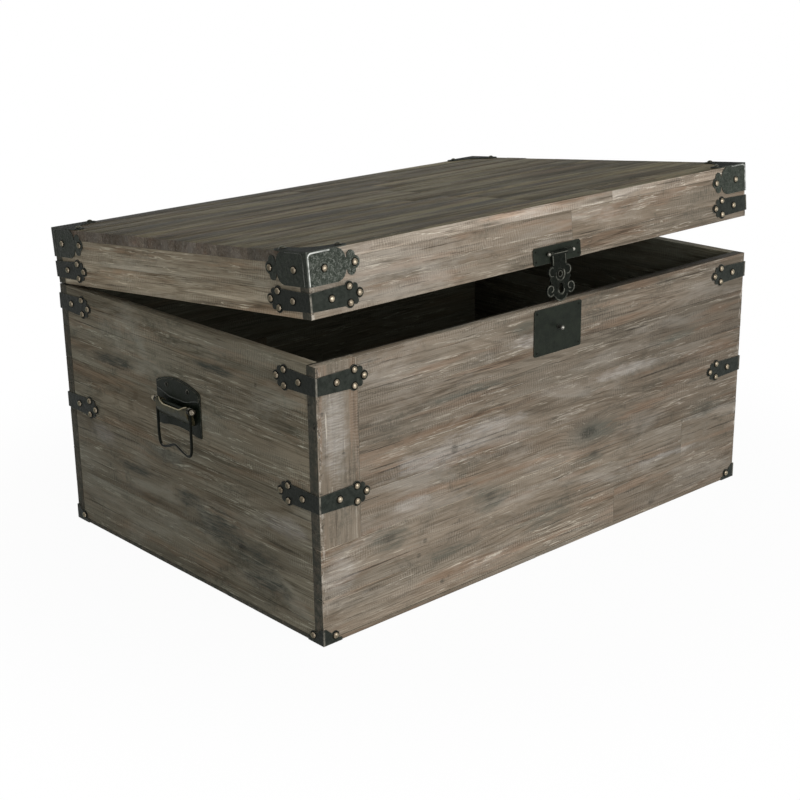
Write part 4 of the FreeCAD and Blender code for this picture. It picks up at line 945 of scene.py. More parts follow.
# a paler iron for the panel's rolled edge: a painted highlight line
BEAD_HIGHLIGHT_IRON = Iron("bead_highlight_iron", dark=(0.030, 0.033, 0.032), pale=(0.090, 0.098, 0.096), rub=0.6, beaten=420.0,
                 depth=0.0002, metal=0.3, crest_highlight=0.4)
BRASSY_IRON = Iron("brassy_iron", dark=(0.012, 0.0115, 0.007), pale=(0.078, 0.066, 0.034), rub=0.9,
                   rubbed=(0.36, 0.30, 0.19), beaten=170.0, depth=0.0005, rough=0.42, metal=0.2, under=0.9)
LIP_BRASS = Iron("lip_brass", slot="worn_steel", dark=(0.16, 0.135, 0.085), pale=(0.46, 0.40, 0.29), rub=0.5,
                 rubbed=(0.56, 0.50, 0.38), beaten=500.0, depth=0.0002, rough=0.34, metal=0.7)
NAIL_METAL = Iron("nail_metal", slot="nail_heads", dark=(0.12, 0.095, 0.065), pale=(0.40, 0.34, 0.255), rub=0.35,
                  shade=0.9, rubbed=(0.50, 0.44, 0.34), beaten=420.0, depth=0.0004, rough=0.36, metal=0.8)
# a darker copy of the nail finish for heads on the lid's top: painted shade
TOP_NAIL_SHADED = Iron("top_nail_shaded", slot="nail_heads", dark=(0.012, 0.012, 0.009), pale=(0.075, 0.070, 0.055), rub=0.5,
                rubbed=(0.30, 0.28, 0.23), beaten=420.0, depth=0.0004, rough=0.4, metal=0.5)
# a dark ring round each nail head: rust, and painted shade where the head meets the iron
RING_RUST_AND_SHADE = Iron("ring_rust_and_shade", dark=(0.0012, 0.0015, 0.0011), pale=(0.0036, 0.0040, 0.0030), rub=0.0, beaten=420.0,
                 depth=0.0002, gloss=0.03)
KNOB_STEEL = Iron("knob_steel", slot="worn_steel", dark=(0.12, 0.10, 0.075), pale=(0.31, 0.275, 0.215), rub=0.4,
                  rubbed=(0.50, 0.45, 0.36), beaten=420.0, depth=0.0002, rough=0.30, metal=0.7)
STUD_STEEL = Iron("stud_steel", slot="worn_steel", dark=(0.07, 0.068, 0.06), pale=(0.22, 0.21, 0.19), rub=0.3,
                  rubbed=(0.45, 0.43, 0.38), beaten=500.0, depth=0.0002, rough=0.26, metal=0.8)
PIN_STEEL = Iron("pin_steel", slot="worn_steel", dark=(0.12, 0.115, 0.10), pale=(0.36, 0.345, 0.305), rub=0.4,
                 rubbed=(0.55, 0.52, 0.46), beaten=500.0, depth=0.0002, rough=0.28, metal=0.8)


# ---------------------------------------------------------------- boards


@dataclass
class GluedBoard:
    """A board glued up from staves, laid out flat with its grain along x and its outer face at z = 0."""

    node: str
    body: str
    length: float
    width: float
    thick: float
    place: Matrix
    outside: Finish
    inside: Finish
    seed: int
    rows: Sequence[float] = ()
    pale: float = 0.0
    reach: tuple[float, float] = (330.0, 760.0)
    bend: float = 0.25
    stile: tuple[float, float] = (0.0, 0.0)
    vary: float = 0.10
    edge: Finish | None = None
    sunk: tuple[float, float] = (0.05, 0.40)
    cuts: int = 6
    ease: float = 0.7
    dice: random.Random = field(init=False)

    def __post_init__(self) -> None:
        """Seeds the board's own dice."""
        self.dice = random.Random(self.seed)

    def row_edges(self) -> list[float]:
        """Where the seams between rows of staves lie, from one edge of the board to the other."""
        if self.rows:
            return [0.0, *self.rows, self.width]
        edges = [0.0]
        while self.width - edges[-1] > 78:
            edges.append(edges[-1] + self.dice.uniform(36, 64))
        return [*edges, self.width]

    def row_ends(self, low: float) -> list[float]:
        """Where the butt joints of one row lie, right of the upright stile where there is one."""
        wide, foot = self.stile
        ends = [-self.length / 2 + (wide if low >= foot else 0.0)]
        while self.length / 2 - ends[-1] > self.reach[1]:
            ends.append(ends[-1] + self.dice.uniform(*self.reach))
        return [*ends, self.length / 2]

    def stave(self, left: float, right: float, low: float, high: float, across: float = 0.0) -> Piece:
        """One stave, a little under the board's face, with a tone, a greyness and a seed of its own."""
        piece = Bench.box((left, low, -self.thick), (right, high, -self.dice.uniform(*self.sunk)))
        tone = min(1.0, max(0.0, self.dice.gauss(0.5, self.vary) + self.pale + across * 0.12))
        colour = (tone, self.dice.random(), self.dice.random(), across)
        for value in piece.data.attributes.new("stave", "FLOAT_COLOR", "POINT").data:
            value.color = colour
        return piece

    def build(self) -> None:
        """Builds the board from its staves, softens it and puts it in place."""
        edges, staves = self.row_edges(), []
        for low, high in zip(edges, edges[1:]):
            ends = self.row_ends(low)
            staves += [self.stave(left, right, low, high) for left, right in zip(ends, ends[1:])]
        if self.stile[0]:
            left = -self.length / 2
            staves.append(self.stave(left, left + self.stile[0], self.stile[1], self.width, 1.0))
        board = Bench.join(staves, self.node.replace("_", "_boards_", 1))
        Bench.edit(board, "EDGE", lambda edge: self.runs_along(board, edge))
        bpy.ops.mesh.subdivide(number_cuts=self.cuts)
        bpy.ops.mesh.select_all(action="SELECT")
        bpy.ops.transform.vertex_random(offset=self.bend * MM, uniform=0.0, normal=0.0, seed=self.seed)
        bpy.ops.mesh.select_all(action="DESELECT")
        bpy.ops.mesh.edges_select_sharp(sharpness=math.radians(50))
        bpy.ops.mesh.bevel(offset=self.ease * MM, segments=2, profile=0.5, affect="EDGES")
        bpy.ops.object.mode_set(mode="OBJECT")
        core = Bench.box((-self.length / 2 + 2, 2, -self.thick + 1.2), (self.length / 2 - 2, self.width - 2, -1.6))
        board = Bench.join([board, core], board.name)
        bpy.ops.object.shade_smooth_by_angle(angle=math.radians(40))
        Bench.coat(board, self.which_finish, *[finish for finish in (self.outside, self.inside, self.edge) if finish])
        Bench.hand_over(Bench.carry(board, self.place), self.body, self.outside, self.node)

    def which_finish(self, face: bpy.types.MeshPolygon) -> int:
        """0 for the outside, 1 for the inside and 2 for an edge that has its own finish."""
        if self.edge and max(abs(face.normal.x), abs(face.normal.y)) > 0.5:
            return 2
        return int(face.center.z < -self.thick * MM / 2 and face.normal.z < -0.5)

    @staticmethod
    def runs_along(board: Piece, edge: bpy.types.MeshEdge) -> bool:
        """Whether an edge runs along the grain."""
        first, last = (board.data.vertices[index].co for index in edge.vertices)
        return abs(last.x - first.x) > 0.02


@dataclass
class Casework:
    """All ten boards of the base and the lid."""

    size: Trunk = TRUNK

    def wall(self, node: str, seed: int, **settings: object) -> None:
        """One upright board of the base or of the lid."""
        t = self.size
        body, side = node.split("_")
        wide, place, across_wood = t.rim - t.bottom, move(0, 0, t.bottom), SIDE_WOOD
        if body == "lid":
            wide, place, across_wood = t.lid_height - t.lid_board, t.lid_swing @ move(0, 0, t.joint), LID_SIDE_WOOD
        long, outside, inside = t.length, FRONT_WOOD, INSIDE
        if side in ("left", "right"):
            long, outside, inside = t.depth - t.wall * 2, across_wood, INSIDE_CROSS
        GluedBoard(node, body, long, wide, t.wall, place @ t.side(side), outside, inside, seed, **settings).build()

    def build(self) -> None:
        """Builds the base's five boards and the lid's five."""
        t = self.size
        side_reach = (260.0, 620.0)
        self.wall("base_front", 11, rows=(52.0, 116.0, 171.0, 228.0, 284.0), pale=0.04, stile=(62.0, 116.0))
        self.wall("base_back", 12)
        self.wall("base_left", 13, rows=(72.0, 160.0, 236.0), reach=side_reach)
        self.wall("base_right", 14, rows=(66.0, 148.0, 240.0), reach=side_reach)
        floor = turn("X", 180) @ move(0, -t.depth / 2)
        GluedBoard("base_bottom", "base", t.length, t.depth, t.bottom, floor, FRONT_WOOD, INSIDE, 15, bend=0.05).build()
        self.wall("lid_front", 21, rows=(24.0,), pale=0.36)
        self.wall("lid_back", 22, rows=(28.0,))
        self.wall("lid_left", 23, rows=(30.0,), pale=0.15)
        self.wall("lid_right", 24, rows=(26.0,))
        top = t.lid_swing @ move(0, -t.depth / 2, t.lid_top)
        GluedBoard("lid_top", "lid", t.length, t.depth, t.lid_board, top, TOP_WOOD, INSIDE, 25, vary=0.24,
                   edge=LID_EDGE_WOOD).build()


# ---------------------------------------------------------------- nails


@dataclass
class Nails:
    """Round clout heads on the corner iron."""

    size: Trunk = TRUNK
    radius: float = 4.1
    height: float = 2.3
    ring: float = 0.9
    seat: float = 0.18
    sides: int = 14
    hinge_x: float = 250.0
    hinge_nails: tuple[float, float, float] = (20.0, 18.0, -2.5)

    def master(self) -> Piece:
        """One domed head in a ring of dark rust and painted shade, its seat at z = 0."""
        Bench.clear()
        bpy.ops.mesh.primitive_uv_sphere_add(segments=self.sides, ring_count=8, radius=self.radius * MM)
        head, seat = bpy.context.object, self.seat * self.radius * MM
        Bench.edit(head, "VERT")
        bpy.ops.mesh.bisect(plane_co=(0, 0, seat), plane_no=(0, 0, 1), clear_inner=True, use_fill=True)
        bpy.ops.mesh.select_all(action="SELECT")
        bpy.ops.transform.translate(value=(0, 0, -seat))
        bpy.ops.transform.resize(value=(1, 1, self.height / (self.radius * (1 - self.seat))))
        bpy.ops.object.mode_set(mode="OBJECT")
        bpy.ops.object.shade_smooth_by_angle(angle=math.radians(50))
        ring = Bench.disc(0, 0, 0.02, 0.30, self.radius + self.ring, self.sides)
        for part, first in ((head, NAIL_METAL), (ring, RING_RUST_AND_SHADE)):
            part.data.materials.append(first.material())
        return Bench.join([head, ring], "nail_head")

    def both_leaves(self, along: float, up: float) -> list[Matrix]:
        """The same spot on the front leaf and on the side leaf, in the corner's frame."""
        g = self.size.gauge
        return [move(along, -g, up) @ FRONT_LEAF, move(-g, along, up) @ SIDE_LEAF]

    def strap_spots(self) -> list[Matrix]:
        """A strap's nails."""
        spots = ((29.5, 0.0), (56.0, 9.6), (56.0, -9.6), (70.4, 0.0))
        return [place for spot in spots for place in self.both_leaves(*spot)]

    def cap_spots(self) -> list[Matrix]:
        """A lid cap's nails, with the cap upside down."""
        flange = [move(x, y, -self.size.gauge) @ turn("X", 180) for x, y in ((53.0, 9.0), (9.0, 53.0))]
        return [*self.both_leaves(23.0, 20.0), *self.both_leaves(67.0, 20.0), *flange]

    def hinge_spots(self, up: int) -> list[Matrix]:
        """The nails of both hinges' leaves on one body."""
        t = self.size
        across, high, deep = self.hinge_nails
        return [move(x, t.hinge_y, t.hinge_z) @ turn("Z", 180) @ FRONT_LEAF @ move(off, high * up, deep)
                for x in (-self.hinge_x, self.hinge_x) for off in (-across, across)]

    def spread(self, name: str, body: str, node: str, spots: Sequence[Matrix], head: Piece) -> None:
        """Copies a head to its spots, each turned a little, and joins them."""
        dice = random.Random(len(spots))
        heads = [Bench.copy(head, name, spot @ turn("Z", dice.uniform(0, 360)) @ turn("X", dice.uniform(-4, 4)))
                 for spot in spots]
        piece = Bench.join(heads, name)
        # heads on the lid's top take the darker nail finish: painted shade
        if body == "lid":
            level = self.size.lid_swing.inverted()
            piece.data.materials.append(TOP_NAIL_SHADED.material())
            for face in piece.data.polygons:
                if face.material_index == 0 and (level @ face.center).z > (self.size.lid_top + 1.0) * MM:
                    face.material_index = 2
        Bench.hand_over(piece, body, NAIL_METAL, node)

    def build(self) -> None:
        """Heads of the base, the lid and the hinges."""
        t = self.size
        head = self.master()
        base, lid = [], []
        for _, _, corner in t.corners():
            base += [move(z=z) @ corner @ spot for z in (UPPER_STRAP, MID_STRAP) for spot in self.strap_spots()]
            base += [move(z=t.gauge) @ corner @ spot for spot in self.both_leaves(17.5, 8.3)]
            lid += [t.lid_swing @ move(z=LID_STRAP) @ corner @ spot for spot in self.strap_spots()]
            lid += [t.lid_swing @ move(z=t.lid_top) @ corner @ CAP_FLIP @ spot for spot in self.cap_spots()]
        for name, body, node, spots in (
                ("nail_heads_base", "base", "base_nails", base), ("nail_heads_lid", "lid", "lid_nails", lid),
                ("hinge_heads_base", "base", "hinge_base_nails", self.hinge_spots(-1)),
                ("hinge_heads_lid", "lid", "hinge_lid_nails", [t.lid_swing @ s for s in self.hinge_spots(1)])):
            self.spread(name, body, node, spots, head)
        Bench.scrap(head)


# ---------------------------------------------------------------- corner iron


@dataclass
class CornerIron:
    """Straps, lid caps and foot caps. Each is modelled once, with the wood at x, y and z above zero, and copied."""

    size: Trunk = TRUNK
    band: float = 10.75
    flare: float = 12.25
    neck: float = 49.0
    lobe: float = 6.1
    cap_end: float = 54.5
    cap_low: float = 38.5
    cap_turn: float = 14.0
    arm: float = 17.0
    arm_end: float = 53.0
    foot_end: float = 28.0
    foot_top: float = 19.8
    foot_low: float = 2.8
    ease: float = 0.42

    def leaf(self, shapes: Sequence[Sequence[Point]], side: bool) -> Piece:
        """A leaf stood on the front face, or mirrored and butted against it on the side face."""
        line = outer_line(shapes)
        if side:
            line = [(-max(x, 0.0), y) for x, y in reversed(line)]
        plate = Bench.soften(Bench.plate(line, 0, self.size.gauge), self.ease)
        return Bench.carry(plate, SIDE_LEAF if side else FRONT_LEAF)

    def pair(self, shapes: Sequence[Sequence[Point]]) -> list[Piece]:
        """The front leaf and the side leaf of one outline."""
        return [self.leaf(shapes, side) for side in (False, True)]

    def strap(self) -> Piece:
        """A strap bent round the corner, with a five-lobed head at both ends."""
        g, half = self.size.gauge, self.band
        band = [(-g, -half), (self.neck, -self.flare), (62.0, -6.0), (62.0, 6.0), (self.neck, self.flare), (-g, half)]
        lobes = circles((56.0, 9.6, self.lobe), (56.0, -9.6, self.lobe), (70.4, 0.0, self.lobe), (64.6, 8.3, 4.1),
                        (64.6, -8.3, 4.1), (61.0, 0.0, 7.0))
        return Bench.join(self.pair([band, *lobes]), "strap")

    def lid_cap(self) -> Piece:
        """A lid cap: two lobed leaves under a flange with two round-ended arms."""
        g, low, bend = self.size.gauge, self.cap_low, self.cap_turn
        middle = self.cap_end - bend
        body = [(-g, 0.0), *arc(middle, bend, bend, -90, 0), *arc(middle, low - bend, bend, 0, 90), (-g, low)]
        lobes = circles((62.2, 11.7, 6.0), (62.2, 28.3, 6.0), (62.2, 20.0, 8.3), (67.0, 20.0, 7.5), (57.2, 20.0, 7.2))
        far, arm = self.arm_end, self.arm
        plan = [(-g, -g), (far, -g), *arc(far, far, far - arm, 270, 180, 10), (-g, far)]
        middle, round_ = arm / 2 - g / 2, arm / 2 + g / 2
        flange = Bench.plate(outer_line([plan, *circles((far, middle, round_), (middle, far, round_))]), -g, 0)
        return Bench.join([*self.pair([body, *lobes]), Bench.soften(flange, self.ease)], "lid_cap")

    def cap_bead_highlight(self, along_x: bool, front: bool) -> Piece:
        """The rounded rim of one leaf of a lid cap, along the bend and the top, which carries a painted highlight."""
        gap, radius = (0.9, 0.95) if front else (5.6, 0.5)
        path = [(gap, y) for y in (self.cap_low - 1, 28, 18, 11)]
        path += [*arc(gap + 4.6, 5.6, 4.6, 180, 270, 5), *[(x, 0.9) for x in (gap + 9, gap + 20, gap + 31)]]
        way = 1 if along_x else -1
        bead = Bench.wire([(x * way, y, 0.0) for x, y in path], radius)
        return Bench.carry(bead, (FRONT_LEAF if along_x else SIDE_LEAF) @ move(0, 0, self.size.gauge))

    def foot_cap(self) -> Piece:
        """A foot cap: two hollowed leaves with a lobe each, and a sole."""
        g, end, top, low = self.size.gauge, self.foot_end, self.foot_top, self.foot_low
        body = [(-g, 0.0), (end, 0.0), (end, low), (20.0, 5.0), (12.4, 12.4), (7.0, 17.0), (4.0, top), (-g, top)]
        sole = Bench.plate([(-g, -g), (end, -g), (end, 4.0), (4.0, end), (-g, end)], -g, 0)
        leaves = self.pair([body, circle(17.5, 8.3, 5.8)])
        return Bench.join([*leaves, Bench.soften(sole, self.ease)], "foot_cap")

    def build(self) -> None:
        """Copies the three masters to their corners."""
        t = self.size
        strap, lid_cap, foot_cap = self.strap(), self.lid_cap(), self.foot_cap()
        for name, heading, corner in t.corners():
            lid = t.lid_swing @ corner
            for master, kind, body, place in (
                    (strap, "strap_base_upper", "base", corner @ move(z=UPPER_STRAP)),
                    (strap, "strap_base_mid", "base", corner @ move(z=MID_STRAP)),
                    (strap, "strap_lid", "lid", lid @ move(z=LID_STRAP)),
                    (lid_cap, "cap_lid", "lid", lid @ move(z=t.lid_top) @ CAP_FLIP),
                    (foot_cap, "cap_base", "base", corner @ move(z=t.gauge))):
                piece = Bench.copy(master, f"{kind}_iron_{name}", place)
                finish = CAP_IRON if kind == "cap_lid" else STRAP_IRON
                if kind == "cap_lid":
                    Bench.coat(piece, lambda face: int(face.normal.z > 0.9), finish, FLANGE_IRON)
                Bench.hand_over(piece, body, finish, f"{kind}_{name}")
            # the front leaf's bead takes a bright painted highlight, the side leaf's a dim one
            for front, finish in ((True, FRONT_BEAD_HIGHLIGHT), (False, SIDE_BEAD_DIM_HIGHLIGHT)):
                bead = self.cap_bead_highlight((heading in (90, 270)) == front, front)
                Bench.carry(bead, lid @ move(z=t.lid_top) @ CAP_FLIP, f"cap_bead_highlight_{'front' if front else 'side'}_{name}")
                Bench.hand_over(bead, "lid", finish)
        for master in (strap, lid_cap, foot_cap):
            Bench.scrap(master)


# ---------------------------------------------------------------- lock and hasp


@dataclass
class LockPlate:
    """The plain lock plate on the base's front and the small turned stud that the hasp drops over."""

    size: Trunk = TRUNK
    width: float = 89.0
    tall: float = 61.5
    gauge: float = 1.5
    below_rim: float = 3.0
    corner: float = 3.0
    stud_down: float = 31.0
    ball: float = 3.3
    neck: float = 2.1
    reach: float = 6.8

    def plate(self) -> Piece:
        """The plate, with a faint line worked along its edge."""
        half, high, r = self.width / 2, self.size.rim - self.below_rim, self.corner
        x, low = half - r, high - self.tall + r
        corners = ((-x, low, 180), (x, low, 270), (x, high - r, 0), (-x, high - r, 90))
        outline = [point for *middle, start in corners for point in arc(*middle, r, start, start + 90, 4)]
        plate = Bench.plate(outline, 0, self.gauge)
        return Bench.soften(Bench.border(plate, (2.2, 0.0), (0.6, -0.22)), 0.40)

    def stud(self) -> Piece:
        """A ball on a waisted neck, from its seat on the plate."""
        middle = self.gauge + self.reach
        parts = [Bench.ball((0, 0, middle), self.ball), Bench.disc(0, 0, 0.4, middle, self.neck)]
        return Bench.tidy(Bench.join(parts, "stud"), 40)

    def build(self) -> None:
        """Builds the plate and the stud."""
        front = self.size.side("front")
        Bench.hand_over(Bench.carry(self.plate(), front, "lock_plate_iron"), "base", LEAF_IRON, "lock_plate")
        stud = Bench.carry(self.stud(), front @ move(0, self.size.rim - self.stud_down), "lock_stud_steel")
        Bench.hand_over(stud, "base", STUD_STEEL, "lock_stud")


@dataclass
class Hasp:
    """The hasp's plate and pin on the lid, and the ornamented hasp that swings on them."""

    size: Trunk = TRUNK
    width: float = 88.5
    tall: float = 22.5
    gauge: float = 1.5
    up: float = 12.0
    out: float = 4.7
    knuckle: float = 2.9
    pin: float = 1.4
    pin_ball: float = 2.6
    near: tuple[float, float] = (-16.15, -13.55)
    far: tuple[float, float] = (13.55, 23.55)
    back: float = -2.7
    face: float = -0.5
    neck: float = 13.25
    roundel: float = -27.5
    eye: tuple[float, float] = (-43.0, -47.6)
    bowl: float = -48.8

    def plate(self) -> Piece:
        """A plate with clipped corners, a raised border and the two outer knuckles."""
        half, tall, clip = self.width / 2, self.tall, 2.5
        plate = Bench.plate([(-half, clip), (-half + clip, 0), (half - clip, 0), (half, clip), (half, tall - clip),
                             (half - clip, tall), (-half + clip, tall), (-half, tall - clip)], 0, self.gauge)
        parts = [Bench.soften(Bench.border(plate, (2.4, 0.0), (0.8, -0.5)), 0.35)]
        for left, right in (self.near, self.far):
            block = Bench.box((left, self.up - self.knuckle, 0.2), (right, self.up + self.knuckle, self.out))
            parts += [Bench.settle(block), Bench.soften(Bench.bar(left, right, self.up, self.out, self.knuckle), 0.3)]
        return Bench.join(parts, "hasp_plate_iron")

    def rod(self) -> Piece:
        """The pin with its two peened ball ends."""
        left, right = self.near[0] - 0.15, self.far[1] + 0.15
        ends = (left - self.pin_ball, right + self.pin_ball)
        balls = [Bench.ball((x, self.up, self.out), self.pin_ball) for x in ends]
        return Bench.tidy(Bench.join([Bench.bar(*ends, self.up, self.out, self.pin), *balls], "rod"), 50)

    def ring(self, x: float, y: float, radius: float, wire: float) -> Piece:
        """A raised ring, half sunk in the hasp's face."""
        Bench.clear()
        bpy.ops.mesh.primitive_torus_add(location=Vector((x, y, self.face)) * MM, major_segments=36, minor_segments=8,
                                         major_radius=radius * MM, minor_radius=wire * MM)
        return bpy.context.object

    def blade(self) -> Piece:
        """The hasp: knuckle and neck, ears, a waist, and scrolls round the bowl with the stud's eye."""
        low, high = self.back, self.face
        body = [(-self.neck, 0), (-self.neck, -19), (-15.0, -34.0), (-14.0, self.bowl), (14.0, self.bowl),
                (15.0, -34.0), (self.neck, -19), (self.neck, 0)]
        shapes = [body, circle(0, self.bowl, 14.0)]
        for side in (-1, 1):
            shapes += circles((14.3 * side, -23.5, 7.0), (18.2 * side, -46.8, 8.0), (16.2 * side, -33.8, 3.6))
        eye = outer_line(circles(*[(0, y, 4.05) for y in self.eye]))
        blade = Bench.plate(outer_line(shapes), low, high)
        cuts = [Bench.disc(20.6 * side, -36.3, low - 1, high + 1, 3.4) for side in (-1, 1)]
        cuts += [Bench.plate(eye, low - 1, high + 1), Bench.disc(0, self.roundel, high - 0.8, high + 1, 7.0),
                 Bench.disc(0, self.roundel, low - 1, high + 1, 2.6)]
        Bench.cut(blade, *cuts)
        rim = Bench.plate(outer_line(circles(*[(0, y, 6.65) for y in self.eye])), high - 0.3, high + 0.8)
        Bench.cut(rim, Bench.plate(eye, high - 1, high + 2))
        knuckle = Bench.bar(-self.neck, self.neck, 0, 0, self.knuckle)
        Bench.cut(knuckle, Bench.bar(-14, 14, 0, 0, self.pin + 0.06))
        return Bench.join([Bench.soften(blade, 0.45), Bench.soften(rim, 0.25), Bench.soften(knuckle, 0.3)], "blade")

    def scrollwork(self) -> Piece:
        """Raised lines on the hasp: rings, a crescent, scroll curls, two lines down the neck, and a light line along
        the knuckle's top. The crescent and the knuckle line are painted highlights.
        """
        z = self.face
        lines = [self.ring(0, self.roundel, 4.0, 0.45), Bench.ball((0.6, -52.6, z + 1.0), 1.7)]
        # the first of these, the crescent round the roundel, is a painted highlight
        for path, rise, thick in ((arc(0, self.roundel, 8.3, 165, 395, 20), 0.1, 0.8),
                                  (arc(0, self.eye[1], 5.4, 175, 365, 16), 0.8, 0.6)):
            lines.append(Bench.wire([(*point, z + rise) for point in path], thick))
        for side in (-1, 1):
            for path, thick in (([(11.4, y) for y in (-2.8, -6.0, -10.0, -15.5)], 0.5),
                                (arc(14.2, -23.5, 5.6, -110, 110, 14), 0.55),
                                (arc(18.4, -46.8, 6.6, -130, 75, 14) + arc(17.6, -44.6, 4.0, 85, 280, 10), 0.62),
                                (arc(0, self.bowl, 12.8, -88, -30, 8), 0.55)):
                lines.append(Bench.wire([(x * side, y, z) for x, y in path], thick))
        # a pale wire along the knuckle's top: a painted highlight
        lines.append(Bench.wire([(x, 0, 2.6) for x in (-12.5, 0, 12.5)], 0.5))
        return Bench.join(lines, "scrollwork")

    def build(self) -> None:
        """Builds the plate and pin on the lid, and the hasp."""
        t = self.size
        lid = t.lid_swing @ move(0, 0, t.joint) @ t.side("front")
        Bench.hand_over(Bench.carry(self.plate(), lid, "hasp_plate_iron"), "lid", LEAF_IRON, "hasp_plate")
        Bench.hand_over(Bench.carry(self.rod(), lid, "hasp_pin_steel"), "lid", PIN_STEEL, "hasp_pin")
        pin = lid @ move(0, self.up, self.out)
        Bench.hand_over(Bench.carry(self.blade(), pin, "hasp_iron"), "hasp", HASP_IRON, "hasp")
        Bench.hand_over(Bench.carry(self.scrollwork(), pin, "hasp_scrollwork"), "hasp", SCROLL_IRON)


# ---------------------------------------------------------------- side handles


@dataclass
class Handle:
    """A bail handle: arched plate, rolled cradle with a waved lip, pin with ball ends, bail and screws."""

    size: Trunk = TRUNK
    half: float = 47.5
    low: float = 202.0
    shoulder: float = 260.0
    crown: float = 270.5
    leg: float = 36.5
    arch_up: float = 206.5
    gauge: float = 1.6
    panel: float = 0.8
    axis_up: float = 238.0
    axis_out: float = 9.5
    roll: float = 4.06
    cradle: float = 34.0
    bore: float = 2.26
    pin: float = 2.2
    ball: float = 3.8
    side: float = 36.2
    wire: float = 1.9
    eye: float = 4.4
    screw: tuple[float, float] = (23.0, 258.5)
    dip: tuple[float, float] = (250.0, 243.5)

    def wave(self, high: float, low: float, wide: float, narrow: float) -> list[Point]:
        """A line that is high at both ends and eases down to a low middle, from left to right."""
        points = []
        for step in range(-12, 13):
            x = wide * step / 12
            part = min(1.0, max(0.0, (abs(x) - narrow) / (wide - narrow)))
            points.append((x, low + (high - low) * (3 * part ** 2 - 2 * part ** 3)))
        return points

    def bow(self, half: float, shoulder: float, crown: float) -> list[Point]:
        """The plate's crown, a flat arc from right to left."""
        rise = crown - shoulder
        radius = (half ** 2 + rise ** 2) / (2 * rise)
        reach = math.degrees(math.asin(half / radius))
        return arc(0, crown - radius, radius, 90 - reach, 90 + reach, 16)

    def plate(self) -> Piece:
        """The plate with its raised upper panel."""
        arch = [(x, self.low + (self.arch_up - self.low) * (1 - (x / self.leg) ** 2)) for x in range(-30, 31, 6)]
        outline = [(-self.half, self.low), (-self.leg, self.low), *arch, (self.leg, self.low), (self.half, self.low),
                   *self.bow(self.half, self.shoulder, self.crown)]
        plate = Bench.plate(outline, 0, self.gauge)
        edge = self.half - 2.0
        lip = self.wave(*self.dip, edge, 14.0)
        raised = Bench.plate([*lip, *self.bow(edge, self.shoulder - 2, self.crown - 2)], self.gauge - 0.4,
                             self.gauge + self.panel)
        return Bench.join([Bench.soften(plate, 0.45), Bench.soften(raised, 0.35)], "handle_plate")

    def bead(self) -> Piece:
        """The rolled lower edge of the raised panel, in a paler iron that paints a highlight line along it."""
        path = [(x, y, self.gauge + self.panel) for x, y in self.wave(*self.dip, self.half - 3.0, 14.0)]
        return Bench.wire(path, 0.75)

    def lip(self) -> Piece:
        """The worn edge of the cradle, which follows its wave over the roll."""
        path = []
        for x, y in self.wave(self.axis_up + self.roll - 0.1, self.axis_up - 1.9, self.cradle - 3.0, 15.0):
            path.append((x, y, self.axis_out + math.sqrt(max(0.0, self.roll ** 2 - (y - self.axis_up) ** 2)) - 0.1))
        return Bench.wire(path, 0.8)

    def cradle_roll(self) -> Piece:
        """The scoop that swells out of the plate and rolls over the pin, with a waved lip."""
        up, out, roll = self.axis_up, self.axis_out, self.roll
        front = [(216.0, 1.4), (217.0, 4.2), (218.9, 6.7), (222.0, 9.4), (226.0, 11.6), (231.0, 13.0), (up - 2, 13.6)]
        top = arc(up, out, roll, 90, -90, 12)
        side = [*front, *top, (229.0, 3.4), (221.0, 1.4)]
        solid = Bench.plate(side, -self.cradle, self.cradle)
        Bench.carry(solid, Matrix(((0, 0, 1, 0), (1, 0, 0, 0), (0, 1, 0, 0), (0, 0, 0, 1))))
        Bench.cut(solid, Bench.bar(-self.cradle - 1, self.cradle + 1, up, out, self.bore))
        edge = self.cradle - 3.0
        lip = self.wave(up + roll + 0.6, up - 1.9, edge, 15.0)
        cutter = Bench.plate([*lip, (edge, up + 12), (-edge, up + 12)], self.gauge + self.panel + 0.2, out * 2)
        return Bench.soften(Bench.cut(solid, cutter), 0.5)

    def rod(self) -> Piece:
        """The pin."""
        reach = self.cradle + 5.6
        return Bench.tidy(Bench.bar(-reach, reach, self.axis_up, self.axis_out, self.pin), 40)

    def knobs(self) -> Piece:
        """The pin's two ball ends."""
        reach = self.cradle + self.wire * 2 + 0.6 + self.ball * 0.95
        ends = [Bench.ball((side * reach, self.axis_up, self.axis_out), self.ball) for side in (-1, 1)]
        return Bench.tidy(Bench.join(ends, "knobs"), 60)

    def bail(self) -> Piece:
        """The bail: an eye round each end of the pin and a wire that dips to two toes round a cusp."""
        side, up, out = self.side, self.axis_up, self.axis_out
        path = [(-side, up - 3.3), (-side, 205), (-side + 0.3, 186), (-side + 2.8, 178.2), (-27.5, 175.7), (-15, 179.6),
                (-5, 184.0), (0, 185.4), (5, 184.0), (15, 179.6), (27.5, 175.7), (side - 2.8, 178.2),
                (side - 0.3, 186), (side, 205), (side, up - 3.3)]
        parts = [Bench.wire([(x, y, out) for x, y in path], self.wire)]
        for x in (-side, side):
            eye = Bench.bar(x - self.wire, x + self.wire, up, out, self.eye)
            parts.append(Bench.soften(Bench.cut(eye, Bench.bar(x - 5, x + 5, up, out, self.bore)), 0.4))
        return Bench.join(parts, "bail")

    def screws(self) -> Piece:
        """Two domed screw heads with upright slots, in the plate's frame."""
        heads = []
        seat = self.gauge + self.panel
        for x in (-self.screw[0], self.screw[0]):
            head = Bench.dome(Bench.ball((x, self.screw[1], seat - 2.6), 4.45), seat - 0.1)
            slot = Bench.box((x - 0.55, 250, seat + 0.55), (x + 0.55, 266, seat + 4))
            heads.append(Bench.soften(Bench.cut(head, slot), 0.12))
        return Bench.join(heads, "screws")

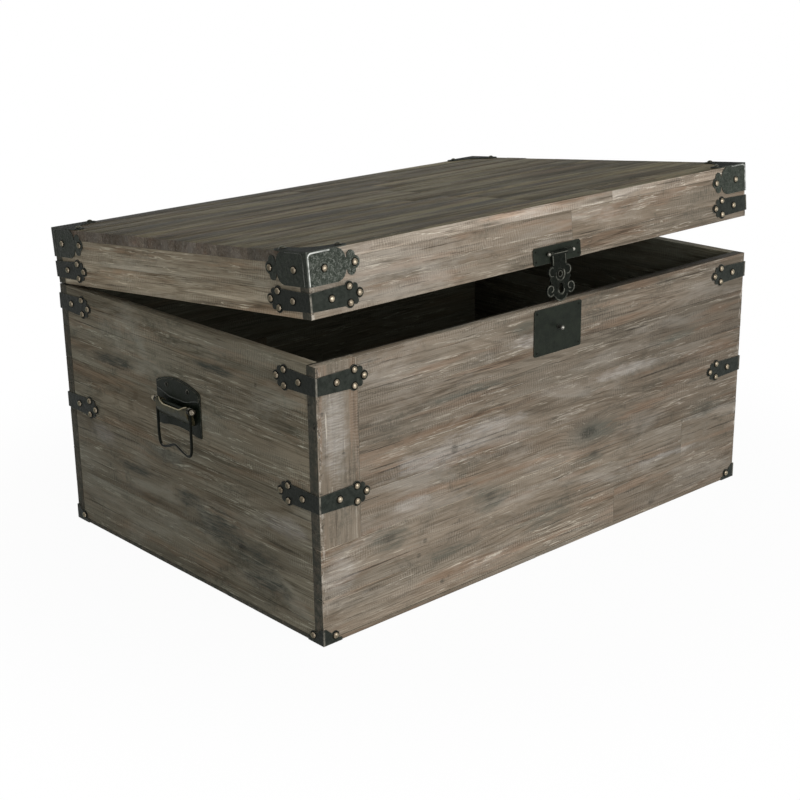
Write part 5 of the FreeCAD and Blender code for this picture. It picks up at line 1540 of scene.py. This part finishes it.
    def build(self) -> None:
        """Builds both handles."""
        parts = {"plate": (self.plate(), "base", GRIP_IRON), "cradle": (self.cradle_roll(), "base", BRASSY_IRON),
                 "rod": (self.rod(), "base", GRIP_IRON), "knobs": (self.knobs(), "base", KNOB_STEEL),
                 "bead": (self.bead(), "base", BEAD_HIGHLIGHT_IRON), "lip": (self.lip(), "base", LIP_BRASS),
                 "bail": (self.bail(), "bail_", BAIL_IRON), "screws": (self.screws(), "base", BAIL_IRON)}
        stands_for = {"plate": "handle_{}_plate", "knobs": "handle_{}_pin", "bail": "handle_{}_bail"}
        for side in ("left", "right"):
            for kind, (master, body, finish) in parts.items():
                piece = Bench.copy(master, f"handle_{side}_{kind}_iron", self.size.side(side))
                nodes = [stands_for[kind].format(side)] if kind in stands_for else []
                nodes += ["handle_screws"] if (kind, side) == ("screws", "left") else []
                Bench.hand_over(piece, body + side if body == "bail_" else body, finish, *nodes)
        for master, _, _ in parts.values():
            Bench.scrap(master)


# ---------------------------------------------------------------- hinges and tacks


@dataclass
class EasedIron:
    """Hinges and tacks: each takes the made part's own shape, with its edges rounded over."""

    prefixes: tuple[str, ...] = ("lock_tacks", "hasp_tacks", "hinge_")
    ease: float = 0.22

    def build(self) -> None:
        """Rounds a copy of each part and lets it stand for the part."""
        for name, node in sorted(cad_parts.items()):
            if not name.startswith(self.prefixes) or name.endswith("_nails"):
                continue
            piece = bpy.data.objects.new(f"{name}_eased", node.data.copy())
            bpy.context.scene.collection.objects.link(piece)
            piece.data.materials.clear()
            Bench.soften(piece, self.ease)
            body = "lid" if "lid_leaf" in name or name == "hasp_tacks" else "base"
            Bench.hand_over(piece, body, TACK_IRON if name.endswith("tacks") else LEAF_IRON, name)


# ---------------------------------------------------------------- studio


@dataclass
class Studio:
    """Pale floor, soft light and the camera."""

    heading: float = -42.02
    height: float = 18.38
    roll: float = -0.80
    distance: float = 2.190
    lens: float = 68.8
    target: tuple[float, float, float] = (-0.0256, 0.0002, 0.1548)
    ambient: float = 0.30

    def floor(self) -> None:
        """A floor that is white to the camera but for the soft shadow on it."""
        Bench.clear()
        bpy.ops.mesh.primitive_grid_add(x_subdivisions=2, y_subdivisions=2, size=40, location=(0, 0, -0.0006))
        floor = Bench.join([bpy.context.object], "studio_floor")
        material = bpy.data.materials.new("studio_floor")
        material.use_nodes = True
        desk = Desk(material.node_tree)
        matt = desk.get("BsdfDiffuse", {"Color": (0.86, 0.86, 0.86)})
        white = desk.get("Emission", {"Color": (1.0, 1.0, 1.0), "Strength": 1.0})
        away = desk.outs("VectorMath", {0: desk.outs("TexCoord")["Object"]}, operation="LENGTH")["Value"]
        fade = desk.get("MapRange", {0: away, 1: 0.50, 2: 0.90, 3: 0.96, 4: 1.0}, interpolation_type="SMOOTHSTEP")
        desk.add("OutputMaterial", {0: desk.get("MixShader", {0: self.seen(desk) * fade, 1: matt, 2: white})})
        floor.data.materials.append(material)

    @staticmethod
    def seen(desk: Desk) -> Value:
        """1 for a ray from the camera, a mirror or a glass."""
        path = desk.outs("LightPath")
        return path["Is Camera Ray"].most(path["Is Glossy Ray"]).most(path["Is Transmission Ray"])

    def sky(self) -> None:
        """A plain world: white where it is seen, and dimmer as a light."""
        world = bpy.context.scene.world or bpy.data.worlds.new("studio")
        bpy.context.scene.world = world
        world.use_nodes = True
        desk = Desk(world.node_tree)
        strength = self.seen(desk).line(1.0 - self.ambient, self.ambient)
        desk.add("OutputWorld", {0: desk.get("Background", {"Color": (1.0, 1.0, 1.0), "Strength": strength})})

    @staticmethod
    def lamp(name: str, place: tuple[float, float, float], power: float, size: float) -> None:
        """A square soft lamp that shines at the trunk."""
        data = bpy.data.lights.new(name, "AREA")
        data.shape, data.size, data.energy = "SQUARE", size, power
        lamp = bpy.data.objects.new(name, data)
        bpy.context.scene.collection.objects.link(lamp)
        lamp.location = place
        lamp.rotation_euler = (Vector((0, 0, 0.2)) - Vector(place)).to_track_quat("-Z", "Y").to_euler()

    def camera(self) -> None:
        """The camera, at its heading and height round the target."""
        data = bpy.data.cameras.new("view")
        data.lens, data.sensor_width, data.clip_end = self.lens, 36.0, 100.0
        camera = bpy.data.objects.new("view", data)
        bpy.context.scene.collection.objects.link(camera)
        az, el = math.radians(self.heading), math.radians(self.height)
        back = Vector((math.sin(az) * math.cos(el), -math.cos(az) * math.cos(el), math.sin(el)))
        camera.location = Vector(self.target) + back * self.distance
        aim = back.to_track_quat("Z", "Y").to_matrix().to_4x4()
        camera.rotation_euler = (aim @ Matrix.Rotation(math.radians(self.roll), 4, "Z")).to_euler()
        bpy.context.scene.camera = camera

    def build(self) -> None:
        """Sets the stage."""
        self.floor()
        self.sky()
        self.lamp("key", (-0.15, -2.35, 0.75), 50.0, 1.5)
        self.lamp("back_fill", (1.6, 2.6, 0.35), 18.0, 2.0)
        self.camera()
        bpy.context.scene.view_settings.view_transform = "Standard"


def main() -> None:
    """Builds the sub-assemblies in order."""
    logging.basicConfig(level=logging.INFO, format="%(message)s")
    for assembly in (Casework, CornerIron, LockPlate, Hasp, Handle, EasedIron, Nails, Studio):
        assembly().build()


if __name__ == "__main__":
    main()
